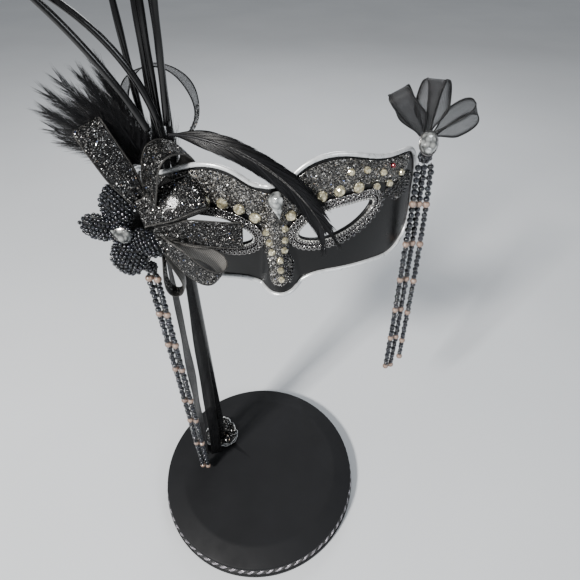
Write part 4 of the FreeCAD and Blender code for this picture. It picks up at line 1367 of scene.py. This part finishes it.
def glitter_loops():
    twists = {"ribbon_loop_right": -0.1, "ribbon_loop_upper_left": 0.1}
    leans = {"ribbon_loop_right": -5.0}
    pinches = {"ribbon_loop_right": 0.5, "ribbon_loop_middle": 0.72, "ribbon_loop_top": 0.7}
    for name, shape in GLITTER_LOOPS.items():
        grid = loop_grid(*shape, pinches.get(name, 0.6), 0.6, cup=0.7,
                         twist=twists.get(name, 0.0), lean=leans.get(name, 0.0))
        outside = name == "ribbon_loop_bottom"
        build = Build()
        build.band(grid, 0.6, front=int(not outside), back=int(outside))
        ribbon = piece(name + "_ribbon", build, [M_RIBBON, M_RIBBON_IN], [name])
        extra = Build()
        hem(extra, grid, 0.5, 6)
        scatter_flakes(extra, grid if outside else grid[::-1], 3600, 0.27)
        glints = piece(name + "_glints", extra, [M_RIM, M_FLAKES])


def bow():
    leans = {"bow_loop_left": 7.0, "bow_loop_middle": -9.0, "bow_loop_right": 8.0}
    for name, shape in BOW_LOOPS.items():
        grid = loop_grid(*shape, 0.3, 0.5, lean=leans[name], rounding=0.24)
        build = Build()
        build.band(grid, SHEER)
        ribbon = piece(name + "_ribbon", build, [M_ORGANZA], [name])
        extra = Build()
        hem(extra, grid, 0.42, 8)
        wires = piece(name + "_wires", extra, [M_SELVAGE])


def bow_stone():
    """An oval stone, a wire rim round it and a thin plate behind."""
    seat = frame_at((1, 0, 0), (-0.1, -0.86, 0.5))
    centre = np.array([120.0, 34.0, 377.0])
    sides = 16
    outline = oval(5.3, 7.0, sides)
    stone = Build()
    stone.stamp(cut_stone(outline, 4.6, 0.6, 0.25, 0.9), [centre - 1.2 * seat[2]], seat[None],
                smooth=False)
    piece("bow_crystal_cut", stone, [M_CLEAR], ["bow_crystal"])
    rim = Build()
    rim.tube(np.c_[oval(5.6, 7.3, 48), np.full(48, -1.0)] @ seat + centre, 0.6, closed=True,
             first=(0, 1, 0))
    plate = np.c_[outline * 1.02, np.full(sides, -2.4)]
    corners = np.vstack([plate, plate - (0, 0, 0.9)]) @ seat + centre
    k = np.arange(sides)
    after = (k + 1) % sides
    rim.add(corners, np.stack([k, after, after + sides, k + sides], axis=1), smooth=False)
    rim.face([rim.count - 2 * sides + k for k in range(sides)], smooth=False)
    rim.face([rim.count - sides + k for k in reversed(range(sides))], smooth=False)
    piece("bow_crystal_bezel", rim, [M_GUNMETAL], ["bow_crystal_setting"])


def arc_band(start, middle, end, wide, width, gathered, ripple):
    """A flat band along an arc, wide along one direction and perhaps gathered at its start."""
    path = arc_through(start, middle, end, 120)
    sides = carried(path, wide)
    normals = np.cross(tangents(path), sides)
    s = np.linspace(-1, 1, 11)
    t = np.linspace(0, 1, len(path))
    half = width / 2 * (1 - gathered * (1 - smoothstep(t * 2.2)))
    wave = ripple * np.sin(t[:, None] * 19 + s[None] * 1.7) * (0.4 + 0.6 * t[:, None])
    return (path[:, None] + (half[:, None] * s[None])[:, :, None] * sides[:, None]
            + wave[:, :, None] * normals[:, None])


# Each band's start, middle, end, wide direction, width, gathering and ripple; its flat size in
# metres and its cloth.
SHEER_BANDS = {
    "organza_arch": (((-65, 41.5, 397), (-41, 42.5, 419), (-27, 37, 383), (0.1, 1, 0.3),
                      14.0, 0.0, 0.4), (0.014, 0.085), M_ORGANZA),
    "streamer_1": (((-53, 18, 300), (-58, 21, 160), (-61, 14, 26), (0.8, -0.6, 0),
                    10.5, 0.55, 0.9), (0.0105, 0.275), M_TAIL),
    "streamer_2": (((-41, 18, 300), (-45.5, 21, 160), (-48, 12, 26), (0.85, 0.5, 0),
                    10.5, 0.55, 0.9), (0.0105, 0.275), M_TAIL),
}


def sheer_bands():
    for name, (shape, flat, cloth) in SHEER_BANDS.items():
        grid = arc_band(*shape)
        build = Build()
        build.band(grid, SHEER)
        ribbon = piece(name + "_sheer", build, [cloth], [name])
        extra = Build()
        hem(extra, grid, 0.4, 8)
        if name == "organza_arch":
            scatter_flakes(extra, grid, 260, 0.5, both=True, share=(0.8, 1))
        wires = piece(name + "_wires", extra, [M_SELVAGE, M_FLAKES])


# ---------------------------------------------------------------- beaded flower

FLOWER = np.array([-69.5, -1.0, 334.0])
FLOWER_AXES = frame_at((1, 0, 0.1), (-0.1, -0.9, 0.42))

# Which way each petal lies, its half-length and half-width, and the turn of its rows of beads.
PETALS = {
    "beaded_petal_left": (-1.0, 0.35, 13.5, 8.5, 90),
    "beaded_petal_top": (-0.1, 1.0, 15.0, 10.5, 15),
    "beaded_petal_bottom": (0.05, -1.0, 13.0, 13.0, 55),
    "beaded_petal_right": (0.85, -0.5, 13.0, 8.5, -25),
}
PETAL_DEPTH, PETAL_SPACING = 6.5, 1.5
PETAL_BEAD = 1.3
STONE_TURN = math.radians(-30)


def bead_rows(reach, turn):
    """Rows of bead places over an ellipsoid of the given half-sizes, and the rows' directions."""
    pitch = PETAL_BEAD * 1.84
    axis = np.array([math.cos(math.radians(turn)), math.sin(math.radians(turn)), 0.0])
    level = np.array([-axis[1], axis[0], 0.0])
    lean = np.linspace(0, math.pi, 200)
    crest = (np.cos(lean)[:, None] * axis + np.sin(lean)[:, None] * (0, 0, 1)) * reach
    at = lengths(crest)
    rows = max(3, int(at[-1] / pitch))
    spots, along = [], []
    for row in range(rows + 1):
        angle = np.interp(at[-1] * row / rows, at, lean)
        spin = np.linspace(0, TAU, 240)
        ring = (np.cos(angle) * axis + np.sin(angle) * (np.cos(spin)[:, None] * (0, 0, 1)
                                                         + np.sin(spin)[:, None] * level)) * reach
        swell = 1 + 0.05 * np.sin(ring[:, :1] * 0.55 + 1) * np.cos(ring[:, 1:2] * 0.6)
        around = lengths(ring)[-1]
        ring = spread(ring * swell, max(2, int(around / pitch) + 1))[:-1]
        if len(ring) > 2:
            ring = ring + 0.5 * (row % 2) * (np.roll(ring, -1, axis=0) - ring)
            along.append(tangents(ring, True))
        else:
            along.append(np.tile(level, (len(ring), 1)))
        spots.append(ring)
    return np.concatenate(spots), np.concatenate(along)


def flower():
    for name, (right, up, length, width, turn) in PETALS.items():
        outward = unit([right, up, 0.0])
        form = np.array([outward, [-outward[1], outward[0], 0.0], [0.0, 0.0, 1.0]])
        centre = outward * (length + PETAL_SPACING)
        reach = np.array([length, width, PETAL_DEPTH]) - PETAL_BEAD * 0.8
        petal = Build()
        ball, faces = icosphere(4)
        petal.add((ball * reach * 0.93 @ form + centre) @ FLOWER_AXES + FLOWER, faces[0], kind=1)
        spots, along = bead_rows(reach, turn)
        spots = spots + dice.normal(0, 0.2, spots.shape)
        petal.stamp(BEAD_SMALL, (spots @ form + centre) @ FLOWER_AXES + FLOWER,
                    facing_axes(along @ form @ FLOWER_AXES, spins(len(spots))),
                    PETAL_BEAD * dice.uniform(0.92, 1.08, len(spots)))
        piece(name + "_beads", petal, [M_BEAD, M_FELT], [name])

    ring, count = Build(), 18
    spots = oval(6.6, 5.2, count)
    along = np.c_[-6.6 * spots[:, 1] / 5.2, 5.2 * spots[:, 0] / 6.6, np.zeros(count)]
    spots = np.c_[spots, np.full(count, 5.4)]
    ring.stamp(BEAD_SMALL, spots @ FLOWER_AXES + FLOWER,
               facing_axes(along @ FLOWER_AXES, spins(count)), 1.2)
    ring.add((BALL[0] * (6.8, 5.4, 1.6) + (0, 0, 4.6)) @ FLOWER_AXES + FLOWER, BALL[1][0], kind=1)
    piece("flower_setting_beads", ring, [M_BEAD, M_GUNMETAL],
          ["flower_crystal_setting"])
    stone = Build()
    verts, faces = cut_stone(pear_outline(13.0, 4.2), 4.0, 0.55, 0.25, 0.84)
    c, s = math.cos(STONE_TURN), math.sin(STONE_TURN)
    verts = verts @ np.array([[c, s, 0], [-s, c, 0], [0, 0, 1]]) + (0, 0, 5.6)
    stone.stamp((verts, faces), [FLOWER], FLOWER_AXES[None], smooth=False)
    piece("flower_crystal_cut", stone, [M_CLEAR], ["flower_crystal"])


# ---------------------------------------------------------------- plumes

QUILLS = {
    "quill_1": ((-38, 28, 390.5), (-31.3, 26, 452)),
    "quill_2": ((-40.6, 35, 356), (-36.3, 32, 452)),
    "quill_3": ((-45.2, 35, 354), (-39.8, 32, 452)),
    "quill_4": ((-49.8, 36, 354), (-45.6, 33, 452)),
    "quill_5": ((-54.4, 38, 356), (-54, 34, 452)),
}
BENT_QUILLS = {
    "quill_6": ((-42, 26.5, 384), (-55, 23, 428), (-104, 16, 468)),
    "quill_7": ((-48, 21, 390), (-76, 14, 445), (-118, 8, 489)),
}
QUILL_LENGTH = 205.0


def blades(build, line, across, up, width, tint):
    """Thin tapered closed blades, one along each row of points."""
    count, steps = line.shape[:2]
    thick = np.clip(1.0 - np.linspace(0, 1, steps) ** 2.2, 0.06, 1)[None, :, None]
    if across.ndim == 2:
        across, up = across[:, None], up[:, None]
    a = line + across * width / 2 * thick
    b = line - across * width / 2 * thick
    c = line + up * width * 0.32 * thick
    verts = np.stack([a, b, c], axis=2).reshape(-1, 3)
    k = np.arange(steps - 1)[:, None] * 3
    quads = np.concatenate([np.concatenate([k + q, k + p, k + 3 + p, k + 3 + q], axis=1)
                            for p, q in ((0, 1), (1, 2), (2, 0))])
    shift = (np.arange(count) * steps * 3)[:, None, None]
    start = build.count
    build.add(verts, (quads[None] + shift).reshape(-1, 4), tint=np.repeat(tint, steps * 3))
    last = (steps - 1) * 3
    for first in range(start, build.count, steps * 3):
        build.face([first, first + 1, first + 2])
        build.face([first + last + 2, first + last + 1, first + last])


def barbs(build, path, side, normal, count, steps=4):
    """A hackle's barbs along both sides of its rachis, as thin tapered blades in clumps."""
    along = tangents(path)
    for sign in (1, -1):
        t = np.linspace(0.03, 0.99, count)
        group = dice.normal(0, 1, count // 3 + 2)[np.arange(count) // 3]
        index = np.clip((t * (len(path) - 1)).astype(int), 0, len(path) - 1)
        base, ahead = path[index], along[index]
        out, up = side[index] * sign, normal[index]
        lean = np.radians(36 - 18 * t) + group * 0.07 + dice.normal(0, 0.025, count)
        size = ((14.5 * (1 - 0.55 * t) + 1.5)
                * (1 + 0.05 * group + dice.normal(0, 0.05, count)))[:, None, None]
        first = np.cos(lean)[:, None] * ahead + np.sin(lean)[:, None] * out
        lift = (group * 0.05 + dice.normal(0, 0.05, count))[:, None, None]
        s = np.linspace(0, 1, steps)[None, :, None]
        bend = (0.25 + dice.normal(0, 0.05, count))[:, None, None]
        line = base[:, None] + size * (
            s * first[:, None] + (s ** 2) * (bend * ahead[:, None] + lift * up[:, None]))
        tint = np.clip(0.5 + 0.2 * group + dice.normal(0, 0.15, count), 0, 1)
        blades(build, line, unit(np.cross(first, up)), up, 0.17, tint)


def shaft(name, path, radius, first):
    build = Build()
    build.tube(path, radius, sides=18, first=first)
    piece(name + "_shaft", build, [M_QUILL], [name])


def quills():
    for index, (name, (foot, through)) in enumerate(QUILLS.items()):
        foot = np.array(foot, float)
        along = unit(np.array(through) - foot)
        t = np.linspace(0, 1, 60)
        bow_out = 1.3 * np.sin(math.pi * t) * (1 if index % 2 else -1)
        path = foot + along * (t * QUILL_LENGTH)[:, None] + np.outer(bow_out, (1, 0, 0))
        radius = 2.1 - 0.6 * t + 0.12 * np.sin(t * 40 + index)
        if index == 0:
            path = np.vstack([path[0] + along * 5, path[0] + along * 0.3, path[0], path])
            radius = np.concatenate([[1.2, 1.45, 1.75], radius])
        radius = np.concatenate([radius, [radius[-1] * 0.75, radius[-1] * 0.3]])
        path = np.vstack([path, path[-1] + along * 0.7, path[-1] + along * 1.1])
        shaft(name, path, radius, (1, 0, 0))
    for name, (start, middle, end) in BENT_QUILLS.items():
        shaft(name, arc_through(start, middle, end, 80), 2.3 - 0.5 * np.linspace(0, 1, 80),
              (0, 1, 0))


HACKLE_ROOT = np.array([-54.0, 24.0, 366.0])
HACKLE_FAN = (99, 158)  # degrees up from +X
HACKLES, FIBRES = 17, 900


def hackles():
    """A tuft of soft hackles fanned up and to the left, and short fibres at the quills' feet."""
    build = Build()
    fan = np.linspace(math.radians(HACKLE_FAN[0]), math.radians(HACKLE_FAN[1]), HACKLES)
    for index, angle in enumerate(fan):
        reach = 50 + 9 * math.sin(index * 2.3)
        direction = np.array([math.cos(angle), 0.0, math.sin(angle)])
        back = 5.5 * math.sin(index * 1.9)
        middle = HACKLE_ROOT + direction * reach * 0.55 + (0, back * 0.6 - 2, 2.0)
        tip = HACKLE_ROOT + direction * reach + (-3, back, -5 * math.cos(angle) * 0.4)
        path = bowed([HACKLE_ROOT + direction * 3, middle, tip], 60)
        side = carried(path, np.cross(direction, (0, 1, 0)))
        normal = unit(np.cross(tangents(path), side))
        build.tube(path, np.linspace(0.45, 0.1, 60), sides=6, tint=0.8)
        barbs(build, path, side, normal, 300)

    count = FIBRES
    foot = np.stack([dice.uniform(low, high, count)
                     for low, high in ((-56, -35), (24, 30), (364, 376))], axis=1)
    rise = dice.uniform(10, 26, count)
    lean = np.stack([dice.normal(0.02, 0.13, count), dice.normal(-0.05, 0.08, count),
                     np.ones(count)], axis=1)
    s = np.linspace(0, 1, 6)
    bend = np.stack([dice.normal(0, 0.12, count), dice.normal(0, 0.06, count), np.zeros(count)],
                    axis=1)
    line = foot[:, None] + rise[:, None, None] * (s[None, :, None] * lean[:, None]
                                                  + (s ** 2)[None, :, None] * bend[:, None])
    blades(build, line, np.tile((1.0, 0.0, 0.0), (count, 1)),
           np.tile((0.0, -1.0, 0.0), (count, 1)), 0.2, np.clip(dice.normal(0.5, 0.2, count), 0, 1))
    piece("hackle_plume", build, [M_PLUME], ["hackle_tuft"])


def vane_strands(build, path, side, normal, half, count, run):
    """Barbs that leave the rachis at a shallow angle and follow its curve to the vane's edge."""
    n, steps = len(path), 12
    s = np.linspace(0, 1, steps)
    for sign in (1, -1):
        begin = np.linspace(0.015, 0.80, count)
        group = dice.normal(0, 1, count // 14 + 2)[np.arange(count) // 14]
        reach = run * (1 + 0.05 * group + dice.normal(0, 0.04, count))
        t = begin[:, None] + reach[:, None] * s[None] * (1 - 0.35 * begin[:, None])
        t = np.minimum(t, 0.999)
        loose = smoothstep((t - 0.72) / 0.28)
        off = sign * half(t) * s[None] ** 0.75 * (1 + dice.normal(0, 0.03, count)[:, None])
        off = off + loose * (group[:, None] * 2.0 + dice.normal(0, 0.6, count)[:, None]) * s[None]
        stray = group[:, None] * 0.8 + dice.normal(0, 0.4, count)[:, None]
        rise = (0.45 * (1 - np.abs(off) / 7) + loose * stray * s[None]
                + 0.12 * group[:, None] * s[None] + dice.normal(0, 0.06, count)[:, None])
        at = t * (n - 1)
        low = np.clip(at.astype(int), 0, n - 2)
        part = (at - low)[..., None]
        line = (path[low] * (1 - part) + path[low + 1] * part + off[..., None] * side[low]
                + rise[..., None] * normal[low])
        tint = np.clip(0.45 + 0.2 * group + dice.normal(0, 0.12, count), 0, 1)
        blades(build, line, side[low], normal[low], 0.5, tint)


# Each feather's start, middle, end, half-width, strands on a side and the way its face looks.
DRAPES = {
    "drape_feather_long": ((-34, 13, 391), (24, -6, 378), (61.5, -3, 314), 5.8, 430,
                           (0, -0.9, 0.4)),
    "drape_feather_short": ((-33, 17, 389.5), (21, -2, 380.5), (57.5, -2, 344), 4.4, 330,
                            (0, -0.8, 0.6)),
}


def drape_feathers():
    """The two long feathers laid over the mask's top edge."""
    steps, shaft_steps = 140, 116
    keep = slice(0, shaft_steps)
    for name, (start, middle, end, vane, count, face) in DRAPES.items():
        path = arc_through(start, middle, end, steps)
        side = unit(np.cross(tangents(path), unit(face)))
        normal = unit(np.cross(side, tangents(path)))
        build = Build()
        build.tube(path[keep], np.linspace(0.95, 0.25, shaft_steps), sides=8, tint=0.9)

        def half(t, vane=vane):
            return vane * smoothstep(0.12 + 4.5 * t) * (1 - 0.25 * smoothstep((t - 0.7) / 0.3))

        t = np.arange(shaft_steps) / (steps - 1)
        width = half(t) * 0.9 * (1 - 0.9 * smoothstep((t - 0.62) / 0.2))
        cross = np.linspace(-1, 1, 9)
        web = (path[keep, None] + (width[:, None] * cross[None])[:, :, None] * side[keep, None]
               - (0.3 + 0.06 * width[:, None] * cross[None] ** 2)[:, :, None] * normal[keep, None])
        build.band(web, 0.3, tint=0.3)
        vane_strands(build, path, side, normal, half, count, 0.24)
        piece(name + "_vane", build, [M_PLUME], [name])


# ---------------------------------------------------------------- run

studio()
tassels()
base()
foot_ruffle()
stick()
eye_trims(mask_body())
mask_coats()
mask_stones()
glitter_loops()
bow()
bow_stone()
sheer_bands()
flower()
quills()
hackles()
drape_feathers()
